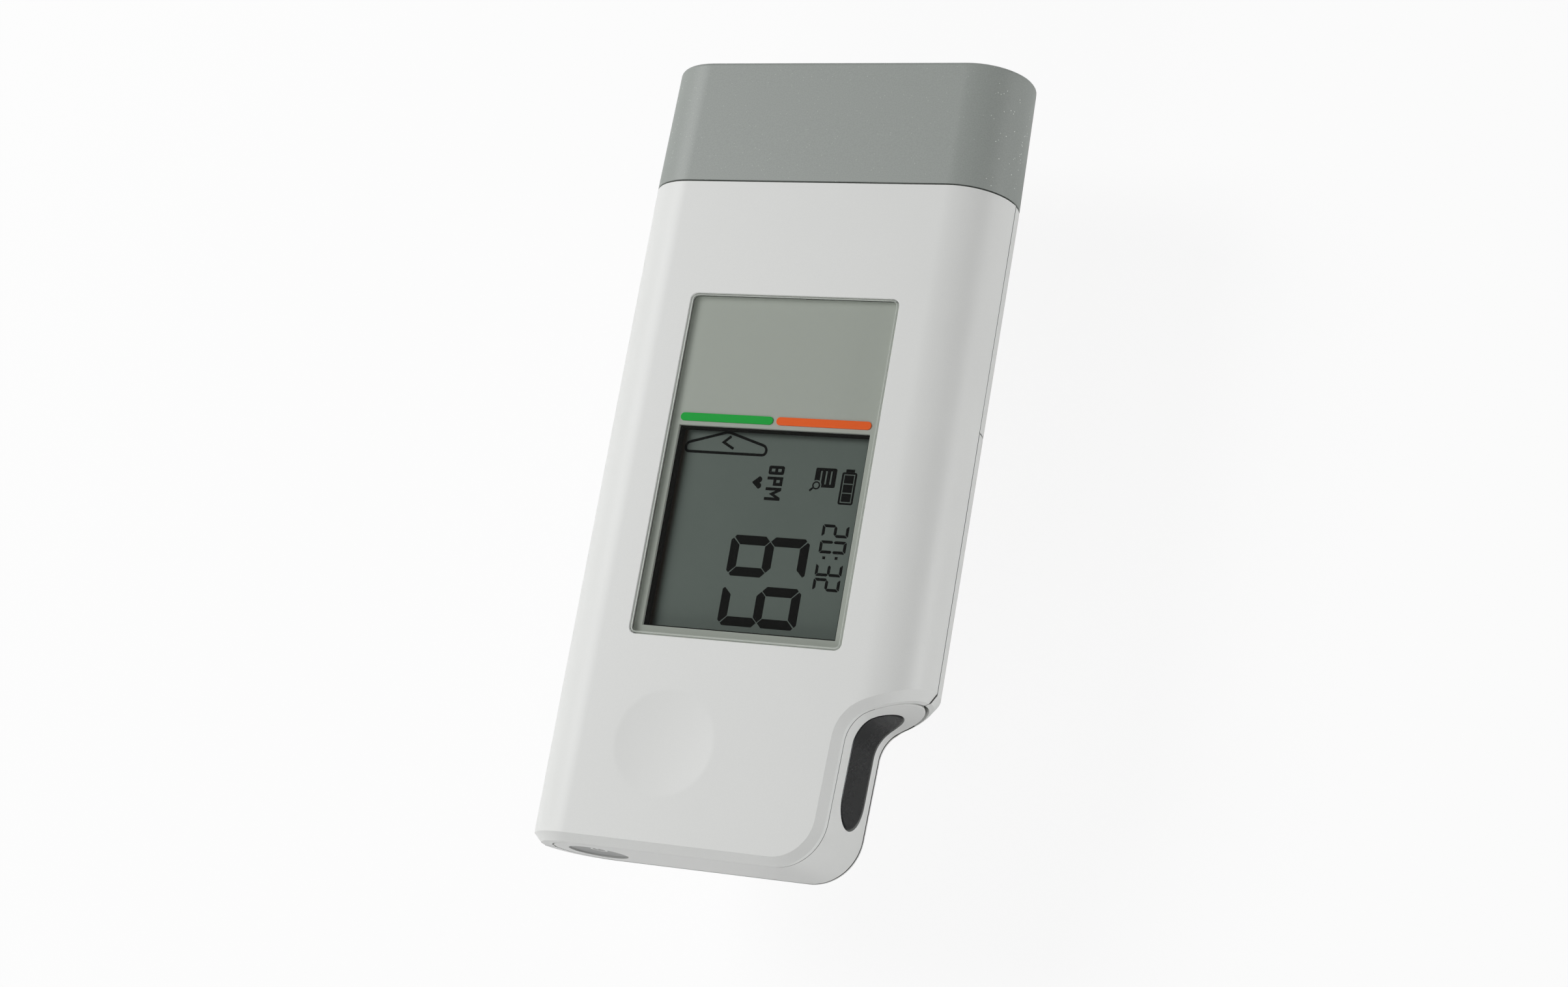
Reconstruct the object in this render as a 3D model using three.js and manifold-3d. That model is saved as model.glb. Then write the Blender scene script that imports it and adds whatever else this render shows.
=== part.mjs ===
// A pocket ECG recorder with a display, a finger electrode in a side recess and a pull-off end cap.
// Millimetres. X across the device, Y towards the cap, Z out of the display; it lies on its back at Z = 0.
import * as THREE from "three";
import { mergeVertices } from "three/addons/utils/BufferGeometryUtils.js";
import Module from "manifold-3d";

const wasm = await Module();
wasm.setup();

// Walls and clearances
const shellWall = 1.8;
const doorWall = 1.6;
const seam = 0.3;
const overrun = 5;

// Three cells lie side by side across the device and set its width and thickness
const cellRadius = 5.25;
const cellLength = 44.5;
const cellGap = 0.4;
const cellCount = 3;
const cellSeat = 0.7;
const cellCover = 4.4;
const springLength = 2.8;
const plateThickness = 0.4;
const sideRoom = 5.05;
const partingRise = 0.2;
const sideFlat = 0.2;
const deviceWidth = cellLength + springLength + 2 * (seam + plateThickness + sideRoom);
const deviceThickness = doorWall + cellSeat + 2 * cellRadius + cellCover;
const rearRadius = deviceThickness / 2 + partingRise;
const frontRadius = deviceThickness - rearRadius - sideFlat;

// Window and display
const windowSide = 12.4;
const windowDrop = 18.2;
const windowRadius = 1.1;
const maskSide = 1.525;
const maskBottom = 1.605;
const lcdMargin = 1.1;
const lcdEnd = 1.75;
const frameWall = 1.1;
const frameRoom = 0.145;
const windowWidth = deviceWidth - 2 * windowSide;
const lcdOpening = windowWidth - 2 * maskSide;
const lcdWidth = lcdOpening + 2 * lcdMargin;
const lcdLength = lcdOpening + 2 * lcdEnd;
const frameLength = lcdLength + 2 * (seam + frameWall);

// Lengths along Y: thumb rest, display, battery door, cap
const thumbLength = 31.4;
const doorEndRoom = 1.575;
const capLength = 19.7;
const displayLength = maskBottom + (lcdOpening + frameLength) / 2 + frameRoom;
const doorLength = 2 * cellCount * cellRadius + (cellCount - 1) * cellGap + 2 * doorEndRoom;
const deviceLength = thumbLength + displayLength + doorLength + capLength;
const halfWidth = deviceWidth / 2;
const bottomY = -deviceLength / 2;
const topY = deviceLength / 2;
const capSeamY = topY - capLength;
const doorSeamY = capSeamY - doorLength;
const lcdCentreY = doorSeamY - frameRoom - frameLength / 2;
const windowLength = capSeamY - windowDrop - bottomY - thumbLength;
const windowCentreY = bottomY + thumbLength + windowLength / 2;
const partingZ = rearRadius;
const frontZ = deviceThickness;

// Finger recess: the lower right corner is cut away to a narrower neck
const neckCut = 10.75;
const neckLean = 0.37;
const neckHeadHeight = 18.7;
const neckFilletRadius = 5.5;
const cornerRadius = 7.4;
const shoulderRadius = 4;
const shelfSlack = 1.1;
const neckFootX = halfWidth - neckCut;
const neckHeadX = neckFootX + neckLean;
const shoulderHeight = neckHeadHeight + neckFilletRadius + shoulderRadius + shelfSlack;

// Edges of the front and rear shells along the recess and the bottom
const chamferWidth = 1.15;
const chamferDepth = 1.23;
const frontLip = 2.3;
const rearLip = 1.4;
const rearChamfer = 0.4;

// Fineness of the curves
const arcSteps = 6;
const sweepSteps = 2 * arcSteps;
const roundSteps = 10;
const dishSides = 28;

const group = new THREE.Group();

function finish(color, roughness, metalness = 0) {
  return new THREE.MeshStandardMaterial({ color, roughness, metalness });
}

const whitePlastic = finish(0xe2e2e1, 0.42);
const greyPlastic = finish(0x8f9592, 0.5);
const innerPlastic = finish(0xb9bcbb, 0.55);
const blackPlastic = finish(0x1d1e1e, 0.4);
const buttonPlastic = finish(0x8c8d8c, 0.45);
const clearPlastic = finish(0xdfe6e2, 0.08);
const maskPrint = finish(0x969a92, 0.4);
const greenPrint = finish(0x26a546, 0.4);
const orangePrint = finish(0xf0642d, 0.4);
const lcdPanel = finish(0x545e59, 0.2);
const silverFilm = finish(0xb8bcb6, 0.35, 0.6);
const elastomer = finish(0xc98f8a, 0.8);
const boardGreen = finish(0x1f6b3c, 0.5);
const chipBlack = finish(0x202122, 0.5);
const steel = finish(0xb9bbbd, 0.3, 1);
const goldFlex = finish(0xb5802c, 0.45, 0.2);
const cellWrap = finish(0x3c5a78, 0.35);

// Closed geometry to solid and back
function solid(geometry) {
  const bare = new THREE.BufferGeometry();
  const loose = geometry.index ? geometry.toNonIndexed() : geometry;
  bare.setAttribute("position", loose.getAttribute("position"));
  const merged = mergeVertices(bare, 1e-4);
  const data = { numProp: 3, vertProperties: merged.attributes.position.array };
  data.triVerts = new Uint32Array(merged.index.array);
  return new wasm.Manifold(new wasm.Mesh(data));
}

function addPart(name, body, material) {
  const data = body.getMesh();
  const geometry = new THREE.BufferGeometry();
  geometry.setAttribute("position", new THREE.BufferAttribute(data.vertProperties, 3));
  geometry.setIndex(new THREE.BufferAttribute(data.triVerts, 1));
  geometry.computeVertexNormals();
  const mesh = new THREE.Mesh(geometry, material);
  mesh.name = name;
  group.add(mesh);
  return mesh;
}

// Extrusions along each axis: shapes are drawn in (x, y), (x, z) and (y, z)
function extrude(shape, length, steps) {
  return new THREE.ExtrudeGeometry(shape, { depth: length, bevelEnabled: false, curveSegments: steps });
}

function alongZ(shape, low, high, steps = arcSteps) {
  return solid(extrude(shape, high - low, steps).translate(0, 0, low));
}

function alongY(shape, low, high, steps = arcSteps) {
  return solid(extrude(shape, high - low, steps).rotateX(Math.PI / 2).translate(0, high, 0));
}

function alongX(shape, low, high, steps = roundSteps) {
  const turn = new THREE.Matrix4().makeBasis(
    new THREE.Vector3(0, 1, 0),
    new THREE.Vector3(0, 0, 1),
    new THREE.Vector3(1, 0, 0),
  );
  return solid(extrude(shape, high - low, steps).applyMatrix4(turn).translate(low, 0, 0));
}

function block(lowX, highX, lowY, highY, lowZ, highZ) {
  const box = new THREE.BoxGeometry(highX - lowX, highY - lowY, highZ - lowZ);
  return solid(box.translate((lowX + highX) / 2, (lowY + highY) / 2, (lowZ + highZ) / 2));
}

function disc(radius, u, v) {
  const shape = new THREE.Shape();
  shape.absarc(u, v, radius, 0, 2 * Math.PI, false);
  return shape;
}

function roundedRectangle(width, height, radius, u, v) {
  const right = u + width / 2 - radius;
  const left = u - width / 2 + radius;
  const top = v + height / 2 - radius;
  const bottom = v - height / 2 + radius;
  const shape = new THREE.Shape();
  shape.absarc(right, bottom, radius, -Math.PI / 2, 0, false);
  shape.absarc(right, top, radius, 0, Math.PI / 2, false);
  shape.absarc(left, top, radius, Math.PI / 2, Math.PI, false);
  shape.absarc(left, bottom, radius, Math.PI, 1.5 * Math.PI, false);
  return shape;
}

// Cross-section of the device in (x, z), drawn in by inset on every side
function section(inset) {
  const front = frontRadius - inset;
  const rear = rearRadius - inset;
  const frontX = halfWidth - frontRadius;
  const rearX = halfWidth - rearRadius;
  const frontCentreZ = frontZ - frontRadius;
  const shape = new THREE.Shape();
  shape.absarc(rearX, rearRadius, rear, -Math.PI / 2, 0, false);
  shape.absarc(frontX, frontCentreZ, front, 0, Math.PI / 2, false);
  shape.absarc(-frontX, frontCentreZ, front, Math.PI / 2, Math.PI, false);
  shape.absarc(-rearX, rearRadius, rear, Math.PI, 1.5 * Math.PI, false);
  return shape;
}

// Height of the front or rear surface above the back, at x
function surfaceZ(x, front) {
  const radius = front ? frontRadius : rearRadius;
  const run = Math.min(Math.max(Math.abs(x) - (halfWidth - radius), 0), radius);
  const drop = radius - Math.sqrt(radius * radius - run * run);
  return front ? frontZ - drop : drop;
}

// Arc centres of the finger recess, and the two tangent directions between them
const corner = new THREE.Vector2(neckFootX - cornerRadius, bottomY + cornerRadius);
const fillet = new THREE.Vector2(neckHeadX + neckFilletRadius, bottomY + neckHeadHeight);
const shoulder = new THREE.Vector2(halfWidth - shoulderRadius, bottomY + shoulderHeight);

function neckNormalAngle() {
  const between = fillet.clone().sub(corner);
  return between.angle() - Math.acos((cornerRadius + neckFilletRadius) / between.length());
}

function shelfNormalAngle() {
  const between = shoulder.clone().sub(fillet);
  return between.angle() - Math.acos(-(neckFilletRadius + shoulderRadius) / between.length());
}

const neckAngle = neckNormalAngle();
const shelfAngle = shelfNormalAngle();
const neckNormal = new THREE.Vector2(Math.cos(neckAngle), Math.sin(neckAngle));
const shelfNormal = new THREE.Vector2(Math.cos(shelfAngle), Math.sin(shelfAngle));

// Plan outline of the device in (x, y), drawn in by inset along the recess, the bottom and the right side
function plan(inset) {
  const left = -halfWidth - overrun - inset;
  const top = topY + overrun + inset;
  const shape = new THREE.Shape();
  shape.moveTo(left, bottomY + inset);
  shape.lineTo(corner.x, bottomY + inset);
  shape.absarc(corner.x, corner.y, cornerRadius - inset, -Math.PI / 2, neckAngle, false);
  shape.absarc(fillet.x, fillet.y, neckFilletRadius + inset, neckAngle + Math.PI, shelfAngle + Math.PI, true);
  shape.absarc(shoulder.x, shoulder.y, shoulderRadius - inset, shelfAngle, 0, false);
  shape.lineTo(halfWidth - inset, top);
  shape.lineTo(left, top);
  return shape;
}

// The device at a given inset between two heights along Y: above the recess, and down to the bottom
function bar(inset, lowY, highY) {
  return alongY(section(inset), lowY, highY);
}

function hull(inset, lowY, highY) {
  return bar(inset, lowY, highY).intersect(alongZ(plan(inset), -overrun, frontZ + overrun));
}

// Points of the front or rear edge along the bottom and the recess, each with the wall's and the surface's normals
function edgePoints(front) {
  const radius = front ? frontRadius : rearRadius;
  const flatX = halfWidth - radius;
  const points = [];
  const put = (x, y, outX, outY) => {
    const at = new THREE.Vector3(x, y, surfaceZ(x, front));
    const run = Math.min(Math.max(Math.abs(x) - flatX, 0), radius) / radius;
    const rise = Math.sqrt(1 - run * run);
    const up = new THREE.Vector3(run * Math.sign(x), 0, front ? rise : -rise);
    points.push({ at, out: new THREE.Vector3(outX, outY, 0), up });
  };
  const sweep = (centre, arcRadius, from, to, sign) => {
    for (let step = 0; step <= sweepSteps; step++) {
      const angle = from + ((to - from) * step) / sweepSteps;
      const dx = Math.cos(angle);
      const dy = Math.sin(angle);
      put(centre.x + arcRadius * dx, centre.y + arcRadius * dy, sign * dx, sign * dy);
    }
  };
  for (let step = 0; step <= sweepSteps; step++) {
    const turn = (Math.PI / 2) * (1 - step / sweepSteps);
    put(-flatX - radius * Math.sin(turn), bottomY, 0, -1);
  }
  sweep(corner, cornerRadius, -Math.PI / 2, neckAngle, 1);
  sweep(fillet, neckFilletRadius, neckAngle + Math.PI, shelfAngle + Math.PI, -1);
  for (let step = 1; step < arcSteps; step++) {
    const from = fillet.clone().addScaledVector(shelfNormal, -neckFilletRadius);
    const to = shoulder.clone().addScaledVector(shelfNormal, shoulderRadius);
    from.lerp(to, step / arcSteps);
    put(from.x, from.y, shelfNormal.x, shelfNormal.y);
  }
  sweep(shoulder, shoulderRadius, shelfAngle, 0, 1);
  return points;
}

// Solid skinned over rings of equally many points, closed at both ends
function skin(rings) {
  const count = rings[0].length;
  const corners = [];
  const add = (...points) => points.forEach((point) => corners.push(point.x, point.y, point.z));
  for (let ring = 0; ring + 1 < rings.length; ring++) {
    for (let k = 0; k < count; k++) {
      const next = (k + 1) % count;
      add(rings[ring][k], rings[ring][next], rings[ring + 1][next]);
      add(rings[ring][k], rings[ring + 1][next], rings[ring + 1][k]);
    }
  }
  const last = rings[rings.length - 1];
  for (let k = 1; k + 1 < count; k++) {
    add(rings[0][0], rings[0][k + 1], rings[0][k]);
    add(last[0], last[k], last[k + 1]);
  }
  const geometry = new THREE.BufferGeometry();
  geometry.setAttribute("position", new THREE.Float32BufferAttribute(corners, 3));
  return solid(geometry);
}

// Wedge that cuts a chamfer along the bottom and the recess, following the rounded sides
function edgeWedge(width, depth, front) {
  const points = edgePoints(front);
  const rings = points.map(({ at, out, up }, k) => {
    const before = points[Math.max(k - 1, 0)].at;
    const after = points[Math.min(k + 1, points.length - 1)].at;
    const along = after.clone().sub(before).normalize();
    const inward = up.clone().cross(along).normalize();
    const down = out.clone().cross(along).normalize();
    inward.multiplyScalar(-Math.sign(inward.dot(out)));
    down.multiplyScalar(-Math.sign(down.dot(up)));
    const inner = at.clone().addScaledVector(inward, width);
    const low = at.clone().addScaledVector(down, depth);
    const ring = [inner, low, low.clone().addScaledVector(out, neckFilletRadius / 2)];
    ring.push(at.clone().addScaledVector(out, neckFilletRadius / 2).addScaledVector(up, overrun));
    ring.push(inner.clone().addScaledVector(up, overrun));
    return front ? ring.reverse() : ring;
  });
  return skin(rings);
}

// Everything between two heights along Z
function slab(lowZ, highZ) {
  const reachX = halfWidth + overrun;
  const reachY = topY + overrun;
  return block(-reachX, reachX, -reachY, reachY, lowZ, highZ);
}

function rod(radius, x, y, lowZ, highZ) {
  return alongZ(disc(radius, x, y), lowZ, highZ, roundSteps);
}

// Strip that follows the recess and the bottom between two insets, with a round end at each place in ends
function ribbon(outerInset, innerInset, lowZ, highZ, ends) {
  const radius = (highZ - lowZ) / 2;
  const midZ = (highZ + lowZ) / 2;
  const past = new THREE.Shape();
  past.moveTo(0, lowZ - overrun);
  past.lineTo(deviceLength, lowZ - overrun);
  past.lineTo(deviceLength, highZ + overrun);
  past.lineTo(0, highZ + overrun);
  past.lineTo(0, midZ + radius);
  past.absarc(0, midZ, radius, Math.PI / 2, -Math.PI / 2, true);
  const inner = alongZ(plan(innerInset), lowZ - overrun, highZ + overrun);
  const ring = alongZ(plan(outerInset), lowZ, highZ).subtract(inner);
  return ends.reduce((body, end) => {
    const cut = extrude(past, 2 * deviceLength, roundSteps).rotateX(Math.PI / 2);
    cut.translate(0, deviceLength, 0).rotateZ(end.turn).translate(end.at.x, end.at.y, 0);
    return body.subtract(solid(cut));
  }, ring);
}

// A place on the wall of the neck, measured down from the fillet, and one on the shelf, measured past the fillet
function onNeck(down) {
  const start = fillet.clone().addScaledVector(neckNormal, -neckFilletRadius);
  return start.addScaledVector(new THREE.Vector2(neckNormal.y, -neckNormal.x), down);
}

function onShelf(past) {
  const start = fillet.clone().addScaledVector(shelfNormal, -neckFilletRadius);
  return start.addScaledVector(new THREE.Vector2(-shelfNormal.y, shelfNormal.x), past);
}

// Side band: an inlaid strip from the shelf of the recess round the neck to the power button
const bandThickness = 2.2;
const bandTipPast = 5.6;
const bandLeftMargin = 2.85;
const bandLowZ = rearLip;
const bandHighZ = frontZ - frontLip;
const bandMidZ = (bandLowZ + bandHighZ) / 2;
const bandRadius = (bandHighZ - bandLowZ) / 2;
const shelfTurn = shelfAngle + Math.PI / 2;
const bandLeft = new THREE.Vector2(-halfWidth + bandLeftMargin + bandRadius, bottomY);
const bandEnds = [
  { at: bandLeft, turn: Math.PI },
  { at: onShelf(bandTipPast - bandRadius), turn: shelfTurn },
];

function bandPocket() {
  const half = seam / 2;
  return ribbon(-overrun / 2, bandThickness + seam, bandLowZ - half, bandHighZ + half, bandEnds);
}

// Finger electrode in the band, in the corner of the recess
const electrodeHeight = 8.35;
const electrodeMidZ = 7.72;
const electrodeThickness = 0.9;
const electrodeFoot = 11.3;
const electrodeTip = 2;
const electrodeRadius = electrodeHeight / 2;
const electrodeEnds = [
  { at: onNeck(electrodeFoot - electrodeRadius), turn: neckAngle - Math.PI / 2 },
  { at: onShelf(electrodeTip - electrodeRadius), turn: shelfTurn },
];

function electrodeStrip(outerInset, innerInset, grow) {
  const low = electrodeMidZ - electrodeRadius - grow;
  const high = electrodeMidZ + electrodeRadius + grow;
  return ribbon(outerInset, innerInset, low, high, electrodeEnds);
}

// Contact behind the finger electrode: a pin through the band and a post under the board
const fingerPinRadius = 0.8;
const fingerPinDown = 4.4;
const fingerPinLength = 3.4;
const fingerPostWidth = 0.8;
const fingerPostDepth = 3;
const fingerPinAt = onNeck(fingerPinDown);
const fingerPinOuterX = fingerPinAt.x - electrodeThickness - seam;
const fingerPostX = fingerPinOuterX - fingerPinLength;

// Power button in the band's left end, pressed along Y
const buttonRadius = 4.35;
const buttonRecess = 0.2;
const buttonFlangeRadius = 5.3;
const buttonFlange = 0.8;
const buttonTravel = 0.5;
const buttonBossRadius = 2;
const buttonBoss = 0.8;
const buttonX = bandLeft.x;
const buttonZ = bandMidZ;
const buttonFaceY = bottomY + buttonRecess;
const flangeLowY = bottomY + bandThickness + seam;
const flangeHighY = flangeLowY + buttonFlange;
const bossHighY = flangeHighY + buttonBoss;

function sideBand() {
  const half = seam / 2;
  let body = ribbon(0, bandThickness, bandLowZ + half, bandHighZ - half, bandEnds);
  body = body.subtract(electrodeStrip(-overrun / 2, electrodeThickness + seam, seam));
  const hole = disc(buttonRadius + seam, buttonX, buttonZ);
  body = body.subtract(alongY(hole, bottomY - overrun, bottomY + overrun, roundSteps));
  const pinHole = disc(fingerPinRadius + seam, fingerPinAt.y, electrodeMidZ);
  return body.subtract(alongX(pinHole, fingerPostX, fingerPinAt.x, arcSteps));
}

function powerButton() {
  const round = (radius, lowY, highY) => alongY(disc(radius, buttonX, buttonZ), lowY, highY, roundSteps);
  const face = round(buttonRadius, buttonFaceY, flangeHighY);
  const flange = round(buttonFlangeRadius, flangeLowY, flangeHighY);
  return face.add(flange).add(round(buttonBossRadius, flangeLowY, bossHighY));
}

function fingerContact() {
  const pin = alongX(disc(fingerPinRadius, fingerPinAt.y, electrodeMidZ), fingerPostX, fingerPinOuterX, arcSteps);
  const halfDepth = fingerPostDepth / 2;
  const lowY = fingerPinAt.y - halfDepth;
  const lowZ = electrodeMidZ - fingerPinRadius;
  const post = block(fingerPostX, fingerPostX + fingerPostWidth, lowY, lowY + fingerPostDepth, lowZ, boardLowZ);
  return pin.add(post);
}

// Display stack, from the lens down to the board
const lensThickness = 0.7;
const lensGap = 0.3;
const maskThickness = 0.4;
const windowFloor = 0.8;
const padMargin = 1.5;
const zoneBarWidth = 1.25;
const zoneBarThickness = 0.15;
const zoneBarAbove = 1.27;
const zoneBarSplit = 0.55;
const zoneBarLength = (lcdOpening - zoneBarSplit) / 2;
const lcdDepth = 2.8;
const lcdThickness = 1.6;
const lcdShelf = 0.8;
const reflectorThickness = 0.2;
const connectorWidth = 1.5;
const connectorMargin = 1;
const boardThickness = 1.6;
const boardDrop = 1;
const lensLowZ = frontZ - lensThickness;
const maskHighZ = lensLowZ - lensGap;
const maskLowZ = maskHighZ - maskThickness;
const padLowZ = maskLowZ - windowFloor;
const lcdHighZ = frontZ - lcdDepth;
const lcdLowZ = lcdHighZ - lcdThickness;
const frameHighZ = padLowZ - seam;
const boardHighZ = lcdLowZ - reflectorThickness - boardDrop;
const boardLowZ = boardHighZ - boardThickness;
const zoneBarY = lcdCentreY + lcdOpening / 2 + zoneBarAbove;

function windowPlate(grow, lowZ, highZ) {
  const shape = roundedRectangle(
    windowWidth + 2 * grow,
    windowLength + 2 * grow,
    windowRadius + grow,
    0,
    windowCentreY,
  );
  return alongZ(shape, lowZ, highZ, arcSteps / 2);
}

function centredBlock(width, length, centreY, lowZ, highZ) {
  return block(-width / 2, width / 2, centreY - length / 2, centreY + length / 2, lowZ, highZ);
}

function displayMask() {
  const hole = centredBlock(lcdOpening, lcdOpening, lcdCentreY, maskLowZ - overrun, maskHighZ + overrun);
  return windowPlate(-seam, maskLowZ, maskHighZ).subtract(hole);
}

function zoneBar(side) {
  const middleX = (side * (zoneBarLength + zoneBarSplit)) / 2;
  const shape = roundedRectangle(zoneBarLength, zoneBarWidth, zoneBarWidth / 2, middleX, zoneBarY);
  return alongZ(shape, maskHighZ, maskHighZ + zoneBarThickness, arcSteps / 2);
}

function lcdFrame() {
  const outerWidth = lcdWidth + 2 * (seam + frameWall);
  const outer = centredBlock(outerWidth, frameLength, lcdCentreY, boardHighZ, frameHighZ);
  const pocketWidth = lcdWidth + 2 * seam;
  const pocketLength = lcdLength + 2 * seam;
  const pocket = centredBlock(pocketWidth, pocketLength, lcdCentreY, lcdLowZ - reflectorThickness, frontZ);
  const openWidth = lcdWidth - 2 * lcdShelf;
  const openLength = lcdLength - 2 * lcdShelf;
  return outer.subtract(pocket).subtract(centredBlock(openWidth, openLength, lcdCentreY, 0, frontZ));
}

function lcdConnector(side) {
  const endY = lcdCentreY + (side * lcdLength) / 2;
  const middleY = endY - side * (lcdShelf + connectorMargin + connectorWidth / 2);
  return centredBlock(lcdOpening, connectorWidth, middleY, boardHighZ, lcdLowZ);
}

function lcdReflector() {
  const length = lcdLength - 2 * (lcdShelf + 2 * connectorMargin + connectorWidth);
  const lowZ = lcdLowZ - reflectorThickness;
  return centredBlock(lcdWidth, length, lcdCentreY, lowZ, lcdLowZ);
}

// Screws from the back into bosses of the front shell
const screwRadius = 1;
const screwHeadRadius = 2.1;
const screwHead = 1.3;
const screwHeadDepth = 0.7;
const screwBite = 6;
const screwSlotWidth = 0.6;
const screwSlotLength = 2.6;
const screwSlotDepth = 0.6;
const bossRadius = 2.8;
const bossMeetZ = 4.5;
const screwSideMargin = 7.9;
const screwUpperDrop = 6;
const screwLowerRise = 17.2;
const screwNeckMargin = 6.15;
const screwNeckRise = 8.7;
const screwSideX = halfWidth - screwSideMargin;
const screwPlaces = [
  new THREE.Vector2(-screwSideX, doorSeamY - screwUpperDrop),
  new THREE.Vector2(screwSideX, doorSeamY - screwUpperDrop),
  new THREE.Vector2(-screwSideX, bottomY + screwLowerRise),
  new THREE.Vector2(neckFootX - screwNeckMargin, bottomY + screwNeckRise),
];
const screwSeatZ = screwHeadDepth + screwHead + seam;
const screwEndZ = bossMeetZ + screwBite;

function screw(place) {
  const headHighZ = screwHeadDepth + screwHead;
  const head = rod(screwHeadRadius, place.x, place.y, screwHeadDepth, headHighZ);
  const shank = rod(screwRadius, place.x, place.y, headHighZ - screwSlotDepth / 2, screwEndZ);
  const halfLength = screwSlotLength / 2;
  const halfWide = screwSlotWidth / 2;
  const topZ = screwHeadDepth + screwSlotDepth;
  const lowZ = screwHeadDepth - overrun;
  const { x, y } = place;
  const slotX = block(x - halfLength, x + halfLength, y - halfWide, y + halfWide, lowZ, topZ);
  const slotY = block(x - halfWide, x + halfWide, y - halfLength, y + halfLength, lowZ, topZ);
  return head.add(shank).subtract(slotX).subtract(slotY);
}

// Thumb rest: a shallow round dish in the front shell
const dishRadius = 8.25;
const dishDepth = 0.35;
const dishX = -8;
const dishRise = 15.7;

function thumbDish() {
  const sphere = (dishRadius * dishRadius + dishDepth * dishDepth) / (2 * dishDepth);
  const span = Math.asin(dishRadius / sphere);
  const profile = [];
  for (let step = 0; step <= arcSteps; step++) {
    const angle = (span * step) / arcSteps;
    const height = sphere - dishDepth - sphere * Math.cos(angle);
    profile.push(new THREE.Vector2(sphere * Math.sin(angle), height));
  }
  profile.push(new THREE.Vector2(dishRadius, overrun), new THREE.Vector2(0, overrun));
  const lathe = new THREE.LatheGeometry(profile, dishSides).rotateX(Math.PI / 2);
  return solid(lathe.translate(dishX, bottomY + dishRise, frontZ));
}

function frontShell() {
  const endY = capSeamY - seam / 2;
  const skinZ = frontZ - shellWall;
  const boss = (place) => rod(bossRadius, place.x, place.y, bossMeetZ, skinZ + shellWall / 2);
  const pilot = (place) => rod(screwRadius + seam, place.x, place.y, 0, screwEndZ + seam);
  let body = hull(0, bottomY, endY).subtract(hull(shellWall, bottomY, endY + overrun));
  body = body.intersect(slab(partingZ + seam / 2, frontZ + overrun));
  body = body.add(windowPlate(padMargin, padLowZ, skinZ + shellWall / 2));
  screwPlaces.forEach((place) => (body = body.add(boss(place))));
  screwPlaces.forEach((place) => (body = body.subtract(pilot(place))));
  body = body.subtract(bandPocket()).subtract(edgeWedge(chamferWidth, chamferDepth, true));
  body = body.subtract(windowPlate(0, maskLowZ, frontZ + overrun));
  body = body.subtract(centredBlock(lcdOpening, lcdOpening, lcdCentreY, 0, frontZ));
  return body.subtract(thumbDish());
}

// Rear shell with screw towers and a bare recess for a label
const labelWidth = 30;
const labelLength = 22;
const labelRadius = 2;
const labelDepth = 0.25;
const labelDrop = 28;

function rearShell() {
  const endY = doorSeamY - seam / 2;
  const tower = bossRadius + seam;
  let body = hull(0, bottomY, endY).subtract(hull(shellWall, bottomY, endY + overrun));
  body = body.intersect(slab(-overrun, partingZ - seam / 2));
  screwPlaces.forEach(({ x, y }) => (body = body.add(rod(tower, x, y, shellWall / 2, bossMeetZ - seam))));
  screwPlaces.forEach(({ x, y }) => {
    body = body.subtract(rod(screwHeadRadius + seam, x, y, -overrun, screwSeatZ));
    body = body.subtract(rod(screwRadius + seam, x, y, -overrun, frontZ));
  });
  const label = roundedRectangle(labelWidth, labelLength, labelRadius, 0, doorSeamY - labelDrop);
  body = body.subtract(alongZ(label, -overrun, labelDepth, arcSteps / 2));
  return body.subtract(bandPocket()).subtract(edgeWedge(rearChamfer, rearChamfer, false));
}

// Battery bay: three cells lie across the device behind the blank part of the window
const cellNub = 1;
const cellNubRadius = 1.9;
const springTurns = 3;
const springSides = 12;
const springWire = 0.5;
const springWide = 3.2;
const springNarrow = 2.2;
const plateWidth = 7.2;
const cellPitch = 2 * cellRadius + cellGap;
const cellMidZ = doorWall + cellSeat + cellRadius;
const bayMidY = (doorSeamY + capSeamY) / 2;
const plateFaceX = (cellLength + springLength + 2 * seam) / 2;
const bayHalfX = plateFaceX + plateThickness + seam;

function cellY(index) {
  return bayMidY + (index - (cellCount - 1) / 2) * cellPitch;
}

// Positive end of each cell: +1 on the right, -1 on the left
function cellSide(index) {
  return index % 2 === 0 ? 1 : -1;
}

function batteryTray() {
  const lowY = doorSeamY + seam / 2;
  const highY = capSeamY - seam / 2;
  let body = bar(shellWall + seam, lowY, highY).intersect(slab(doorWall + seam, padLowZ - seam));
  const clear = cellRadius + seam;
  for (let index = 0; index < cellCount; index++) {
    body = body.subtract(alongX(disc(clear, cellY(index), cellMidZ), -bayHalfX, bayHalfX));
  }
  const bayLowY = cellY(0) - clear;
  const bayHighY = cellY(cellCount - 1) + clear;
  body = body.subtract(block(-bayHalfX, bayHalfX, bayLowY, bayHighY, -overrun, cellMidZ));
  const slotZ = cellMidZ + plateWidth / 2 + seam;
  const slotX = plateFaceX - seam;
  body = body.subtract(block(slotX, bayHalfX, bayLowY, bayHighY, -overrun, slotZ));
  body = body.subtract(block(-bayHalfX, -slotX, bayLowY, bayHighY, -overrun, slotZ));
  return body.subtract(flexChannel());
}

function batteryCell(index) {
  const side = cellSide(index);
  const tip = side * plateFaceX - side * seam;
  const neck = tip - side * cellNub;
  const foot = tip - side * cellLength;
  const can = disc(cellRadius, cellY(index), cellMidZ);
  const nub = disc(cellNubRadius, cellY(index), cellMidZ);
  const body = alongX(can, Math.min(neck, foot), Math.max(neck, foot));
  return body.add(alongX(nub, Math.min(foot, tip), Math.max(foot, tip)));
}

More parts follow.
